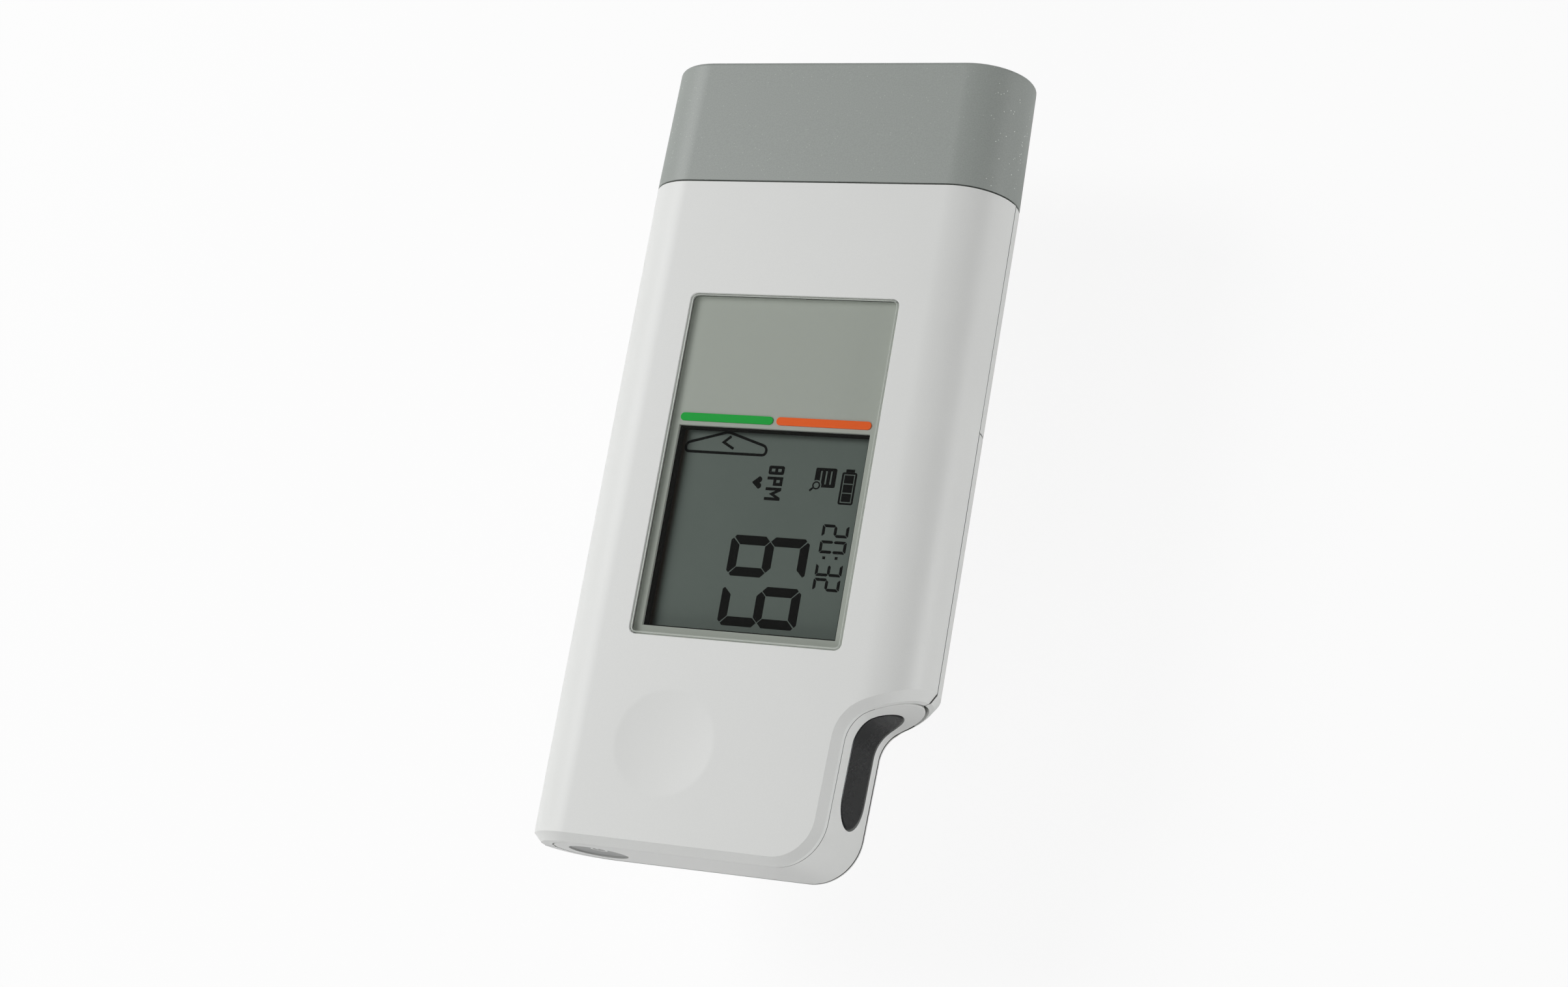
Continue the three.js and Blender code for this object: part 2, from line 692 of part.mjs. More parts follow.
// Tapered coil from the contact plate to the flat end of a cell
class SpringCurve extends THREE.Curve {
  constructor(index) {
    super();
    this.index = index;
  }

  getPoint(t, target = new THREE.Vector3()) {
    const side = cellSide(this.index);
    const radius = springWide + (springNarrow - springWide) * t;
    const turn = 2 * Math.PI * springTurns * t;
    const start = -side * (plateFaceX - seam - springWire / 2);
    const x = start + side * (springLength - seam - springWire) * t;
    const y = cellY(this.index) + radius * Math.cos(turn);
    return target.set(x, y, cellMidZ + radius * Math.sin(turn));
  }
}

function batterySpring(index) {
  const wire = disc(springWire / 2, 0, 0);
  const steps = springTurns * springSides;
  const options = { steps, extrudePath: new SpringCurve(index), curveSegments: arcSteps / 2 };
  return solid(new THREE.ExtrudeGeometry(wire, options));
}

// Contact plate at one end of the bay, over one cell or bridging two
function contactPlate(side, first, last) {
  const lowY = cellY(first) - plateWidth / 2;
  const highY = cellY(last) + plateWidth / 2;
  const inner = side * plateFaceX;
  const outer = side * (plateFaceX + plateThickness);
  const lowX = Math.min(inner, outer);
  const lowZ = cellMidZ - plateWidth / 2;
  return block(lowX, Math.max(inner, outer), lowY, highY, lowZ, lowZ + plateWidth);
}

// Flat lead from the chest electrode past the bay to the board
const flexThickness = 0.2;
const flexHeight = 1.8;
const flexMargin = 3.9;
const flexTail = 14;
const flexX = halfWidth - flexMargin;
const flexMidZ = frontZ - frontRadius;

function flexChannel() {
  const lowX = -flexX - seam;
  const highX = lowX + flexThickness + 2 * seam;
  const half = flexHeight / 2 + seam;
  return block(lowX, highX, doorSeamY - overrun, topY, flexMidZ - half, flexMidZ + half);
}

function electrodeFlex() {
  const half = flexHeight / 2;
  const highY = noseEndY - noseWall - 2 * seam - stripThickness;
  return block(-flexX, -flexX + flexThickness, doorSeamY - flexTail, highY, flexMidZ - half, flexMidZ + half);
}

// Finger grip on the battery door
const gripLines = 4;
const gripStart = 3;
const gripPitch = 1.8;
const gripWidth = 0.9;
const gripDepth = 0.4;
const gripHalf = 6;

function batteryDoor() {
  const lowY = doorSeamY + seam / 2;
  const highY = capSeamY - seam / 2;
  let body = bar(0, lowY, highY).subtract(bar(doorWall, lowY - overrun, highY + overrun));
  body = body.intersect(slab(-overrun, partingZ - seam / 2));
  for (let line = 0; line < gripLines; line++) {
    const y = lowY + gripStart + line * gripPitch;
    body = body.subtract(block(-gripHalf, gripHalf, y, y + gripWidth, -overrun, gripDepth));
  }
  return body;
}

// Nose of the housing under the cap, with the chest electrode in its end
const capWall = 1.7;
const capDraft = 0.3;
const capEdge = 0.6;
const noseLength = 11.7;
const noseWall = 1.2;
const plateLength = 40;
const chestHeight = 7.4;
const chestThickness = 0.9;
const chestProud = 0.6;
const chestPinRadius = 0.8;
const stripThickness = 0.3;
const stripHeight = 2.4;
const noseInset = capWall + capDraft + seam;
const noseEndY = capSeamY + noseLength;
const noseMidZ = frontZ / 2;
const chestLowY = noseEndY + chestProud - chestThickness;

function electrodeNose() {
  const lowY = capSeamY + seam / 2;
  const inner = noseInset + noseWall;
  let body = bar(noseInset, lowY, noseEndY).subtract(bar(inner, lowY - overrun, noseEndY - noseWall));
  const grow = 2 * seam;
  const pocket = roundedRectangle(plateLength + grow, chestHeight + grow, (chestHeight + grow) / 2, 0, noseMidZ);
  body = body.subtract(alongY(pocket, chestLowY - seam, noseEndY + overrun));
  const pinHole = disc(chestPinRadius + seam, 0, noseMidZ);
  return body.subtract(alongY(pinHole, noseEndY - noseWall - overrun, noseEndY));
}

function chestElectrode() {
  const shape = roundedRectangle(plateLength, chestHeight, chestHeight / 2, 0, noseMidZ);
  return alongY(shape, chestLowY, noseEndY + chestProud);
}

function chestContact() {
  const highY = noseEndY - noseWall - seam;
  const lowY = highY - stripThickness;
  const lowZ = noseMidZ - stripHeight / 2;
  const strip = block(-flexX, stripHeight / 2, lowY, highY, lowZ, lowZ + stripHeight);
  const pin = alongY(disc(chestPinRadius, 0, noseMidZ), lowY, chestLowY - seam, arcSteps / 2);
  return strip.add(pin);
}

// Cap: a drafted cup with a small rounded edge at its closed end
function sectionRing(inset, y) {
  return section(inset)
    .getPoints(arcSteps)
    .map((point) => new THREE.Vector3(point.x, y, point.y));
}

function endCap() {
  const outer = [sectionRing(0, capSeamY + seam / 2)];
  const edgeSteps = arcSteps / 2;
  for (let step = 0; step <= edgeSteps; step++) {
    const turn = (Math.PI / 2) * (step / edgeSteps);
    const inset = capDraft + capEdge * (1 - Math.cos(turn));
    outer.push(sectionRing(inset, topY - capEdge * (1 - Math.sin(turn))));
  }
  const mouth = sectionRing(capWall, capSeamY - overrun);
  const floor = sectionRing(capWall + capDraft, topY - capWall);
  return skin(outer.reverse()).subtract(skin([floor, mouth]));
}

// Board with the electronics, below the display
const boardInset = 3.3;
const boardSide = 4.3;
const boardUpper = 0.6;
const boardNotch = 0.6;

function mainBoard() {
  const sideX = halfWidth - boardSide;
  const lowY = bottomY + boardInset;
  const plate = alongZ(plan(boardInset), boardLowZ, boardHighZ);
  let body = plate.intersect(block(-sideX, sideX, lowY, doorSeamY - boardUpper, 0, frontZ));
  screwPlaces.forEach(({ x, y }) => (body = body.subtract(rod(bossRadius + boardNotch, x, y, 0, frontZ))));
  const halfButton = buttonFlangeRadius + boardNotch;
  const notchHighY = bossHighY + buttonTravel + boardNotch;
  return body.subtract(block(buttonX - halfButton, buttonX + halfButton, lowY, notchHighY, 0, frontZ));
}

// Parts under the board: width, length and height, and the centre as shares of halfWidth and thumbLength
const boardParts = {
  processor_chip: [9, 9, 1.2],
  amplifier_chip: [6, 6, 1],
  radio_module: [12, 9, 1.8],
  clock_crystal: [5, 2, 1.4],
};
const boardPlaceShares = {
  processor_chip: [0.17, 1.312],
  amplifier_chip: [-0.289, 0.818],
  radio_module: [0.221, 0.834],
  clock_crystal: [-0.136, 1.28],
};
const buzzerRadius = 5;
const buzzerHeight = 3;
const buzzerX = -2;
const buzzerRise = 14.2;

function chip([width, length, height], [acrossShare, alongShare]) {
  const lowX = halfWidth * acrossShare - width / 2;
  const lowY = bottomY + thumbLength * alongShare - length / 2;
  return block(lowX, lowX + width, lowY, lowY + length, boardLowZ - height, boardLowZ);
}

// Tactile switch behind the power button, hung under the board
const switchWidth = 6;
const switchLength = 3.6;
const switchHeight = 4.4;
const switchPlungerRadius = 1.4;
const switchPlungerOut = 0.8;
const switchPlungerIn = 1.4;
const switchBore = 2.2;
const plungerLowY = bossHighY + seam;
const switchLowY = plungerLowY + switchPlungerOut;

function switchBody() {
  const lowX = buttonX - switchWidth / 2;
  const lowZ = boardLowZ - switchHeight;
  const body = block(lowX, lowX + switchWidth, switchLowY, switchLowY + switchLength, lowZ, boardLowZ);
  const bore = disc(switchPlungerRadius + seam, buttonX, buttonZ);
  return body.subtract(alongY(bore, switchLowY - overrun, switchLowY + switchBore));
}

function switchPlunger() {
  const shape = disc(switchPlungerRadius, buttonX, buttonZ);
  return alongY(shape, plungerLowY, switchLowY + switchPlungerIn);
}

addPart("front_shell", frontShell(), whitePlastic);
addPart("rear_shell", rearShell(), whitePlastic);
addPart("battery_door", batteryDoor(), whitePlastic);
addPart("side_band", sideBand(), whitePlastic);
addPart("end_cap", endCap(), greyPlastic);
addPart("power_button", powerButton(), buttonPlastic);
addPart("tact_switch_plunger", switchPlunger(), steel);
addPart("tact_switch_body", switchBody(), blackPlastic);
addPart("finger_electrode", electrodeStrip(0, electrodeThickness, 0), blackPlastic);
addPart("finger_contact", fingerContact(), steel);
addPart("display_window", windowPlate(-seam, lensLowZ, frontZ), clearPlastic);
addPart("display_mask", displayMask(), maskPrint);
addPart("zone_bar_green", zoneBar(-1), greenPrint);
addPart("zone_bar_orange", zoneBar(1), orangePrint);
addPart("lcd_frame", lcdFrame(), blackPlastic);
addPart("lcd_glass", centredBlock(lcdWidth, lcdLength, lcdCentreY, lcdLowZ, lcdHighZ), lcdPanel);
addPart("lcd_reflector", lcdReflector(), silverFilm);
addPart("lcd_connector_upper", lcdConnector(1), elastomer);
addPart("lcd_connector_lower", lcdConnector(-1), elastomer);
addPart("main_board", mainBoard(), boardGreen);
for (const [name, sizes] of Object.entries(boardParts)) {
  const body = chip(sizes, boardPlaceShares[name]);
  addPart(name, body, name === "radio_module" ? silverFilm : chipBlack);
}
const buzzer = rod(buzzerRadius, buzzerX, bottomY + buzzerRise, boardHighZ, boardHighZ + buzzerHeight);
addPart("buzzer", buzzer, chipBlack);
addPart("battery_tray", batteryTray(), innerPlastic);
for (let index = 0; index < cellCount; index++) {
  addPart(`battery_cell_${index + 1}`, batteryCell(index), cellWrap);
  addPart(`battery_spring_${index + 1}`, batterySpring(index), steel);
}
addPart("battery_terminal_positive", contactPlate(1, 0, 0), steel);
addPart("battery_bridge_right", contactPlate(1, 1, 2), steel);
addPart("battery_bridge_left", contactPlate(-1, 0, 1), steel);
addPart("battery_terminal_negative", contactPlate(-1, 2, 2), steel);
addPart("electrode_nose", electrodeNose(), innerPlastic);
addPart("chest_electrode", chestElectrode(), steel);
addPart("chest_contact", chestContact(), steel);
addPart("electrode_flex", electrodeFlex(), goldFlex);
screwPlaces.forEach((place, index) => addPart(`shell_screw_${index + 1}`, screw(place), steel));

export default group;
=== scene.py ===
# Pocket heart-signal recorder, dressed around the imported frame.
# Sizes are in millimetres and are multiplied by mm where Blender takes them.
import math
from functools import partial

import bpy
from mathutils import Matrix, Vector


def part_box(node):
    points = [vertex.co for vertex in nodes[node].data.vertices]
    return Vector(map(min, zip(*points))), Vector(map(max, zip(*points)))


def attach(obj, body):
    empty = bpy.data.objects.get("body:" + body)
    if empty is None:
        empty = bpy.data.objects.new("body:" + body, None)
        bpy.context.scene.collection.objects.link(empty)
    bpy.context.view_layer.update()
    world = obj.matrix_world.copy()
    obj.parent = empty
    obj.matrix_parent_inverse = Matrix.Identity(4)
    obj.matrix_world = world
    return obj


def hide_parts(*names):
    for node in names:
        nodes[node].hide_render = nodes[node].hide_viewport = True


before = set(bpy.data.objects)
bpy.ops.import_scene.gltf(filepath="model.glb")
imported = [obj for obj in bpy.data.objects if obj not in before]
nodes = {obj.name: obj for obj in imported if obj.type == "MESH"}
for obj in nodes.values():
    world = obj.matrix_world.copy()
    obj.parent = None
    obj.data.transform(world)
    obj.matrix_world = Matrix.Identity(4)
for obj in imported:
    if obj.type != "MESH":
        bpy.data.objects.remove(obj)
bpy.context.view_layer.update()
mm = 0.001
near = 0.01  # places closer than this count as the same
overrun = 1  # how far a short tool runs out of the piece that it cuts


def corners(node):  # lowest and highest corner of a frame node, in millimetres
    low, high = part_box(node)
    return low / mm, high / mm


def midway(node):
    low, high = corners(node)
    return (low + high) / 2


# Driving places, all read off the frame
shellLow, shellHigh = corners("front_shell")
rearHigh = corners("rear_shell")[1]
doorLow = corners("battery_door")[0]
capLow, capHigh = corners("end_cap")
halfWidth = shellHigh.x
bottomY = shellLow.y
topY = capHigh.y
frontZ = shellHigh.z
capSeamY = (shellHigh.y + capLow.y) / 2
doorSeamY = (rearHigh.y + doorLow.y) / 2

# reach is how far a cutting tool runs on past the piece that it cuts
body = dict(frontRadius=8.2, rearRadius=8.8, wall=1.8, partingZ=8.8, roundSteps=12, seamGap=0.18, groove=0.15, reach=6)
recess = dict(neckCut=10.75, neckLean=0.37, headRise=18.7, filletRadius=5.5, cornerRadius=7.4,
              shoulderRise=27.1, arcSteps=20, facetLines=4, facetRoom=0.05)
edges = dict(chamfer=1.19, frontLip=2.3, rearLip=1.4, seamRound=0.14)


# Selecting and shaping, as by hand
def clearSelection():
    if bpy.context.object and bpy.context.object.mode != "OBJECT":
        bpy.ops.object.mode_set(mode="OBJECT")
    bpy.ops.object.select_all(action="DESELECT")


def choose(*pieces):
    clearSelection()
    for piece in pieces:
        piece.select_set(True)
    bpy.context.view_layer.objects.active = pieces[0]


def settle(piece, name=None):  # place, turn and size go into the mesh
    choose(piece)
    bpy.ops.object.transform_apply(location=True, rotation=True, scale=True)
    if name:
        piece.name = name
        piece.data.name = name
    return piece


def editMode(kind="VERT", selected=False):
    bpy.ops.object.mode_set(mode="EDIT")
    bpy.ops.mesh.select_mode(type=kind)
    bpy.ops.mesh.select_all(action="SELECT" if selected else "DESELECT")


def pick(piece, kind, test):  # selects what passes the test and leaves the piece in edit mode
    choose(piece)
    editMode(kind)
    bpy.ops.object.mode_set(mode="OBJECT")
    mesh = piece.data
    if kind == "FACE":
        for face in mesh.polygons:
            face.select = test(face.center / mm, face.normal)
    elif kind == "EDGE":
        for edge in mesh.edges:
            ends = [mesh.vertices[i].co / mm for i in edge.vertices]
            edge.select = test(*ends)
    else:
        for point in mesh.vertices:
            point.select = test(point.co / mm)
    bpy.ops.object.mode_set(mode="EDIT")


def endEdit():
    bpy.ops.object.mode_set(mode="OBJECT")


def modify(piece, kind, **settings):
    choose(piece)
    modifier = piece.modifiers.new(kind.title(), kind)
    for key, value in settings.items():
        setattr(modifier, key, value)
    bpy.ops.object.modifier_apply(modifier=modifier.name)
    return piece


def carve(piece, tool, operation="DIFFERENCE"):  # Boolean with a tool that is used up
    modify(piece, "BOOLEAN", operation=operation, solver="MANIFOLD", object=tool)
    bpy.data.objects.remove(tool)
    return piece


def duplicate(piece, name, shift=(0, 0, 0)):
    twin = piece.copy()
    twin.data = piece.data.copy()
    bpy.context.scene.collection.objects.link(twin)
    twin.location = Vector(shift) * mm
    return settle(twin, name)


def joinUp(pieces, name):
    choose(*pieces)
    bpy.ops.object.join()
    return settle(bpy.context.object, name)


def block(name, low, high):
    low, high = Vector(low), Vector(high)
    clearSelection()
    bpy.ops.mesh.primitive_cube_add(size=1, location=(low + high) / 2 * mm)
    piece = bpy.context.object
    piece.scale = (high - low) * mm
    return settle(piece, name)


def bevelPicked(width, steps, slide=True):
    bpy.ops.mesh.bevel(offset_type="OFFSET", offset=width * mm, segments=steps, affect="EDGES", clamp_overlap=False,
                       loop_slide=slide)


def bevelEdges(piece, width, steps, test):
    pick(piece, "EDGE", test)
    bevelPicked(width, steps)
    endEdit()
    return piece


def smooth(piece, degrees=32, weighted=True):
    choose(piece)
    bpy.ops.object.shade_smooth_by_angle(angle=math.radians(degrees))
    if weighted:
        modify(piece, "WEIGHTED_NORMAL", mode="FACE_AREA", weight=50, keep_sharp=True)
    return piece


def roundEnd(piece, atY, width, steps):  # the edges round the upper end along y
    return bevelEdges(piece, width, steps, lambda a, b: min(a.y, b.y) > atY - near)


def roundTop(piece, atZ, width, steps):  # the edges round the top face
    return bevelEdges(piece, width, steps, lambda a, b: min(a.z, b.z) > atZ - near)


def roundStrip(piece, width, steps):  # the sharp edges of a strip that follows the walls
    return modify(piece, "BEVEL", width=width * mm, segments=steps, limit_method="ANGLE",
                  angle_limit=math.radians(50), use_clamp_overlap=False)


def mergeAll(piece, distance):
    choose(piece)
    editMode(selected=True)
    bpy.ops.mesh.remove_doubles(threshold=distance * mm)
    bpy.ops.mesh.normals_make_consistent(inside=False)
    endEdit()
    return piece


# An outline in the xy plane: (x, y) draws a straight stretch, (x, y, degrees, steps) turns about that centre
def drawOutline(name, start, moves):
    clearSelection()
    bpy.ops.mesh.primitive_plane_add(size=mm)
    piece = bpy.context.object
    piece.name = name
    editMode(selected=True)
    bpy.ops.mesh.merge(type="CENTER")
    here = Vector(start).to_3d()
    bpy.ops.transform.translate(value=here * mm)
    for move in moves:
        if len(move) == 2:
            there = Vector(move).to_3d()
            bpy.ops.mesh.extrude_region_move(TRANSFORM_OT_translate={"value": (there - here) * mm})
        else:
            centre = Vector(move[:2]).to_3d()
            turn = math.radians(move[2])
            bpy.ops.mesh.spin(steps=move[3], angle=-turn, center=centre * mm, axis=(0, 0, 1))
            there = centre + Matrix.Rotation(turn, 3, "Z") @ (here - centre)
        here = there
    return piece


def raiseOutline(piece, low, high):  # the closed outline as a prism between two heights
    bpy.ops.mesh.select_all(action="SELECT")
    bpy.ops.mesh.remove_doubles(threshold=0.001 * mm)
    bpy.ops.mesh.edge_face_add()
    bpy.ops.transform.translate(value=(0, 0, low * mm))
    bpy.ops.mesh.extrude_region_move(TRANSFORM_OT_translate={"value": (0, 0, (high - low) * mm)})
    bpy.ops.mesh.select_all(action="SELECT")
    bpy.ops.mesh.normals_make_consistent(inside=False)
    endEdit()
    return piece


def spinOutline(piece, steps):  # the outline turned once round the y axis
    bpy.ops.mesh.select_all(action="SELECT")
    bpy.ops.mesh.spin(steps=steps, angle=2 * math.pi, center=(0, 0, 0), axis=(0, 1, 0))
    bpy.ops.mesh.select_all(action="SELECT")
    bpy.ops.mesh.remove_doubles(threshold=0.001 * mm)
    bpy.ops.mesh.normals_make_consistent(inside=False)
    endEdit()
    return piece


def turnInto(piece, axis, degrees, place=(0, 0, 0)):  # turned about the origin, then moved
    piece.matrix_world = Matrix.Translation(Vector(place) * mm) @ Matrix.Rotation(math.radians(degrees), 4, axis)
    return settle(piece)


def roundedPlate(name, width, length, radius, centre, low, high, steps=6):
    x, y = width / 2 - radius, length / 2 - radius
    cx, cy = centre
    moves = [(cx + x, cy + y, 90, steps), (cx - x, cy + y + radius), (cx - x, cy + y, 90, steps),
             (cx - x - radius, cy - y), (cx - x, cy - y, 90, steps), (cx + x, cy - y - radius),
             (cx + x, cy - y, 90, steps), (cx + x + radius, cy + y)]
    return raiseOutline(drawOutline(name, (cx + x + radius, cy + y), moves), low, high)


def rod(name, radius, centre, low, high, steps=32):  # upright
    start = (centre[0] + radius, centre[1])
    return raiseOutline(drawOutline(name, start, [(*centre, 360, steps)]), low, high)


# Plan of the finger recess: corner, neck, fillet, shelf
neckFootX = halfWidth - recess["neckCut"]
cornerAt = Vector((neckFootX - recess["cornerRadius"], bottomY + recess["cornerRadius"]))
filletAt = Vector((neckFootX + recess["neckLean"] + recess["filletRadius"], bottomY + recess["headRise"]))
shoulderAt = Vector((halfWidth, bottomY + recess["shoulderRise"]))


def tangentTurn(a, b, total):
    between = b - a
    return math.degrees(math.atan2(between.y, between.x) - math.acos(total / between.length))


neckTurn = tangentTurn(cornerAt, filletAt, recess["cornerRadius"] + recess["filletRadius"])
shelfTurn = tangentTurn(filletAt, shoulderAt, -recess["filletRadius"])


def towards(degrees):
    return Vector((math.cos(math.radians(degrees)), math.sin(math.radians(degrees))))


neckNormal, shelfNormal = towards(neckTurn), towards(shelfTurn)


def onNeck(down):  # a place on the neck's wall, below the fillet
    return filletAt - recess["filletRadius"] * neckNormal + down * Vector((neckNormal.y, -neckNormal.x))


def onShelf(past):  # a place on the shelf, past the fillet
    return filletAt - recess["filletRadius"] * shelfNormal + past * Vector((-shelfNormal.y, shelfNormal.x))


def recessMoves(inset, front):  # from the bottom edge round to the right side
    steps = recess["arcSteps"]
    neckStart = filletAt - (recess["filletRadius"] + inset) * neckNormal
    sideX = halfWidth - inset
    shelfPoint = filletAt - (recess["filletRadius"] + inset) * shelfNormal
    shelfEndY = shelfPoint.y - (sideX - shelfPoint.x) * shelfNormal.x / shelfNormal.y
    moves = [(cornerAt.x, bottomY + inset), (*cornerAt, 90 + neckTurn, steps), tuple(neckStart)]
    # the fillet has a point on each facet line of the rounded side that it crosses, so its rim bevels cleanly
    radius = body["frontRadius" if front else "rearRadius"]
    facets = [halfWidth - radius + (radius - inset) * math.sin(k * math.pi / 2 / body["roundSteps"])
              for k in range(recess["facetLines"])]
    room = recess["facetRoom"]
    turned = neckTurn
    for x in facets:
        if neckStart.x + room < x < shelfPoint.x - room:
            turn = math.degrees(math.acos((filletAt.x - x) / (recess["filletRadius"] + inset)))
            moves.append((*filletAt, -turn - turned, steps if turned == neckTurn else 1))
            turned = -turn
    moves.append((*filletAt, shelfTurn - turned, 1))
    return moves + [(sideX, shelfEndY)]


def planPrism(inset, low, high, front=True):
    far = halfWidth + body["reach"] + inset
    start = (-far, bottomY + inset)
    top = topY + body["reach"] + inset
    moves = recessMoves(inset, front) + [(halfWidth - inset, top), (-far, top), start]
    return raiseOutline(drawOutline("planPrism", start, moves), low, high)


def bar(name, inset, lowY, highY):  # the device's section along y, both faces rounded
    side = halfWidth - inset
    piece = block(name, (-side, lowY, inset), (side, highY, frontZ - inset))
    along = lambda a, b: abs(a.y - b.y) > 1
    bevelEdges(piece, body["frontRadius"] - inset, body["roundSteps"], lambda a, b: along(a, b) and a.z > frontZ / 2)
    return bevelEdges(piece, body["rearRadius"] - inset, body["roundSteps"],
                      lambda a, b: along(a, b) and a.z < inset + near)


def keepAbove(piece, z, above=True):  # cut level at z; the part above stays, or else the part below
    choose(piece)
    editMode(selected=True)
    bpy.ops.mesh.bisect(plane_co=(0, 0, z * mm), plane_no=(0, 0, 1), use_fill=True,
                        clear_inner=above, clear_outer=not above, threshold=0.001 * mm)
    endEdit()
    return piece


def hull(name, inset, lowY, highY, z, above):  # front or rear half of the case, cut to the plan
    piece = keepAbove(bar(name, inset, lowY - body["reach"], highY), z, above)
    carve(piece, planPrism(inset, -body["reach"], frontZ + body["reach"], above), "INTERSECT")
    return mergeAll(piece, 0.003)


def partingGroove(piece, z, endY):  # half of the soft groove where front and rear meet along the sides
    level = lambda p: abs(p.z - z) < near and abs(p.x) > halfWidth - near
    return bevelEdges(piece, body["groove"], 2, lambda a, b: level(a) and level(b) and min(a.y, b.y) < endY - near)


def recessRim(piece, width):  # chamfer where the walls of the recess and the bottom meet the outer surface
    def onWall(centre, normal):
        side = abs(centre.x) > halfWidth - 0.3 and abs(normal.x) > 0.99
        return abs(normal.z) < 0.02 and centre.y < shoulderAt.y and not side
    pick(piece, "FACE", onWall)
    bpy.ops.mesh.region_to_loop()
    endEdit()
    parting = [vertex.index for vertex in piece.data.vertices
               if abs(vertex.co.z / mm - body["partingZ"]) < body["seamGap"]]
    for edge in piece.data.edges:
        if edge.select and all(i in parting for i in edge.vertices):
            edge.select = False
    bpy.ops.object.mode_set(mode="EDIT")
    bevelPicked(width, 1, slide=False)
    endEdit()
    return piece


# A strip along the walls of the recess and the bottom; each end is (place, turn) and is cut round
def endCutter(radius, midZ, place, turn):
    far, reach = 4 * halfWidth, radius + body["reach"]
    moves = [(far, midZ - reach), (far, midZ + reach), (0, midZ + reach), (0, midZ + radius), (0, midZ, -180, 24),
             (0, midZ - reach)]
    tool = raiseOutline(drawOutline("endCutter", (0, midZ - reach), moves), -far, far)
    turnInto(tool, "X", 90)
    return turnInto(tool, "Z", turn, (*place, 0))


def ribbon(name, outer, inner, low, high, ends):  # between two insets from the walls
    strip = planPrism(outer, low, high)
    carve(strip, planPrism(inner, low - body["reach"], high + body["reach"]))
    for place, turn in ends:
        carve(strip, endCutter((high - low) / 2, (high + low) / 2, place, turn))
    strip.name = name
    return strip


def rodAlongY(name, radius, x, z, lowY, highY, steps=48):
    return turnInto(rod(name, radius, (x, z), -highY, -lowY, steps), "X", 90)


band = dict(thickness=2.2, tipPast=5.6, leftMargin=2.85, pocketGap=0.2, pocketOut=2.5, tipGap=0.35, soften=0.12,
            holeOut=3)
electrode = dict(height=8.35, midZ=7.72, thickness=0.9, foot=11.3, tip=2.0, gap=0.24, pocketOut=2, soften=0.3)
bandLowZ, bandHighZ = edges["rearLip"], frontZ - edges["frontLip"]
bandRadius, bandMidZ = (bandHighZ - bandLowZ) / 2, (bandHighZ + bandLowZ) / 2
shelfWay, neckWay = shelfTurn + 90, neckTurn - 90
bandLeft = Vector((-halfWidth + band["leftMargin"] + bandRadius, bottomY))


def bandEnds(grow):
    return [(bandLeft, 180), (onShelf(band["tipPast"] - bandRadius + grow), shelfWay)]


def bandPocket():
    gap = band["pocketGap"]
    return ribbon("bandPocket", -band["pocketOut"], band["thickness"] + gap, bandLowZ - gap, bandHighZ + gap,
                  bandEnds(band["tipGap"]))


def screwHoles(piece, radius, low, high):
    for place in screwPlaces:
        carve(piece, rod("screwHole", radius, place, low, high))


screwPlaces = [tuple(midway(f"shell_screw_{k}").to_2d()) for k in range(1, 5)]
lensLow, lensHigh = corners("display_window")
maskLow, maskHigh = corners("display_mask")
lcdHigh = corners("lcd_glass")[1]
window = dict(lensGap=0.3, seenGap=0.14, radius=1.1, flare=0.08, pad=1.5, padFloor=0.8, opening=30.95,
              lensEdge=0.26, maskEdge=0.05)
windowWidth = lensHigh.x - lensLow.x + 2 * window["lensGap"]
windowLength = lensHigh.y - lensLow.y + 2 * window["lensGap"]
windowCentre = tuple(midway("display_window").to_2d())
lcdCentre = tuple(midway("lcd_glass").to_2d())


def squareRod(name, half, low, high):  # about the middle of the display
    x, y = lcdCentre
    return block(name, (x - half, y - half, low), (x + half, y + half, high))


def windowTool():  # opens out a little at the surface, so the window has a soft edge
    flare = window["flare"]
    tool = roundedPlate("windowTool", windowWidth, windowLength, window["radius"], windowCentre, maskLow.z,
                        frontZ - flare)
    pick(tool, "FACE", lambda c, n: n.z > 0.9)
    for rise, grow in ((flare, 2 * flare), (body["reach"], 0)):
        bpy.ops.mesh.extrude_region_move(TRANSFORM_OT_translate={"value": (0, 0, rise * mm)})
        size = (1 + grow / windowWidth, 1 + grow / windowLength, 1)
        bpy.ops.transform.resize(value=size, center_override=(*(Vector(windowCentre) * mm), 0))
    endEdit()
    return tool


front = dict(bossRadius=2.8, bossFoot=4.5, pilot=1.3, pilotTop=10.8, dish=(-8.0, -45.5), dishRadius=8.25,
             dishDepth=0.31)


def thumbDish():  # the shallow cap of a large ball
    radius, depth = front["dishRadius"], front["dishDepth"]
    ball = (radius ** 2 + depth ** 2) / (2 * depth)
    arc = math.degrees(math.asin(radius / ball))
    moves = [(0, ball - depth, arc, 12), (radius, body["reach"]), (0, body["reach"])]
    tool = spinOutline(drawOutline("thumbDish", (0, -depth), moves), 72)
    return turnInto(tool, "X", 90, (*front["dish"], frontZ))


def softSeam(piece, atY):  # a small round on the outer edge at a seam across the device
    return bevelEdges(piece, edges["seamRound"], 2, lambda a, b: abs(a.y - atY) < near and abs(b.y - atY) < near)


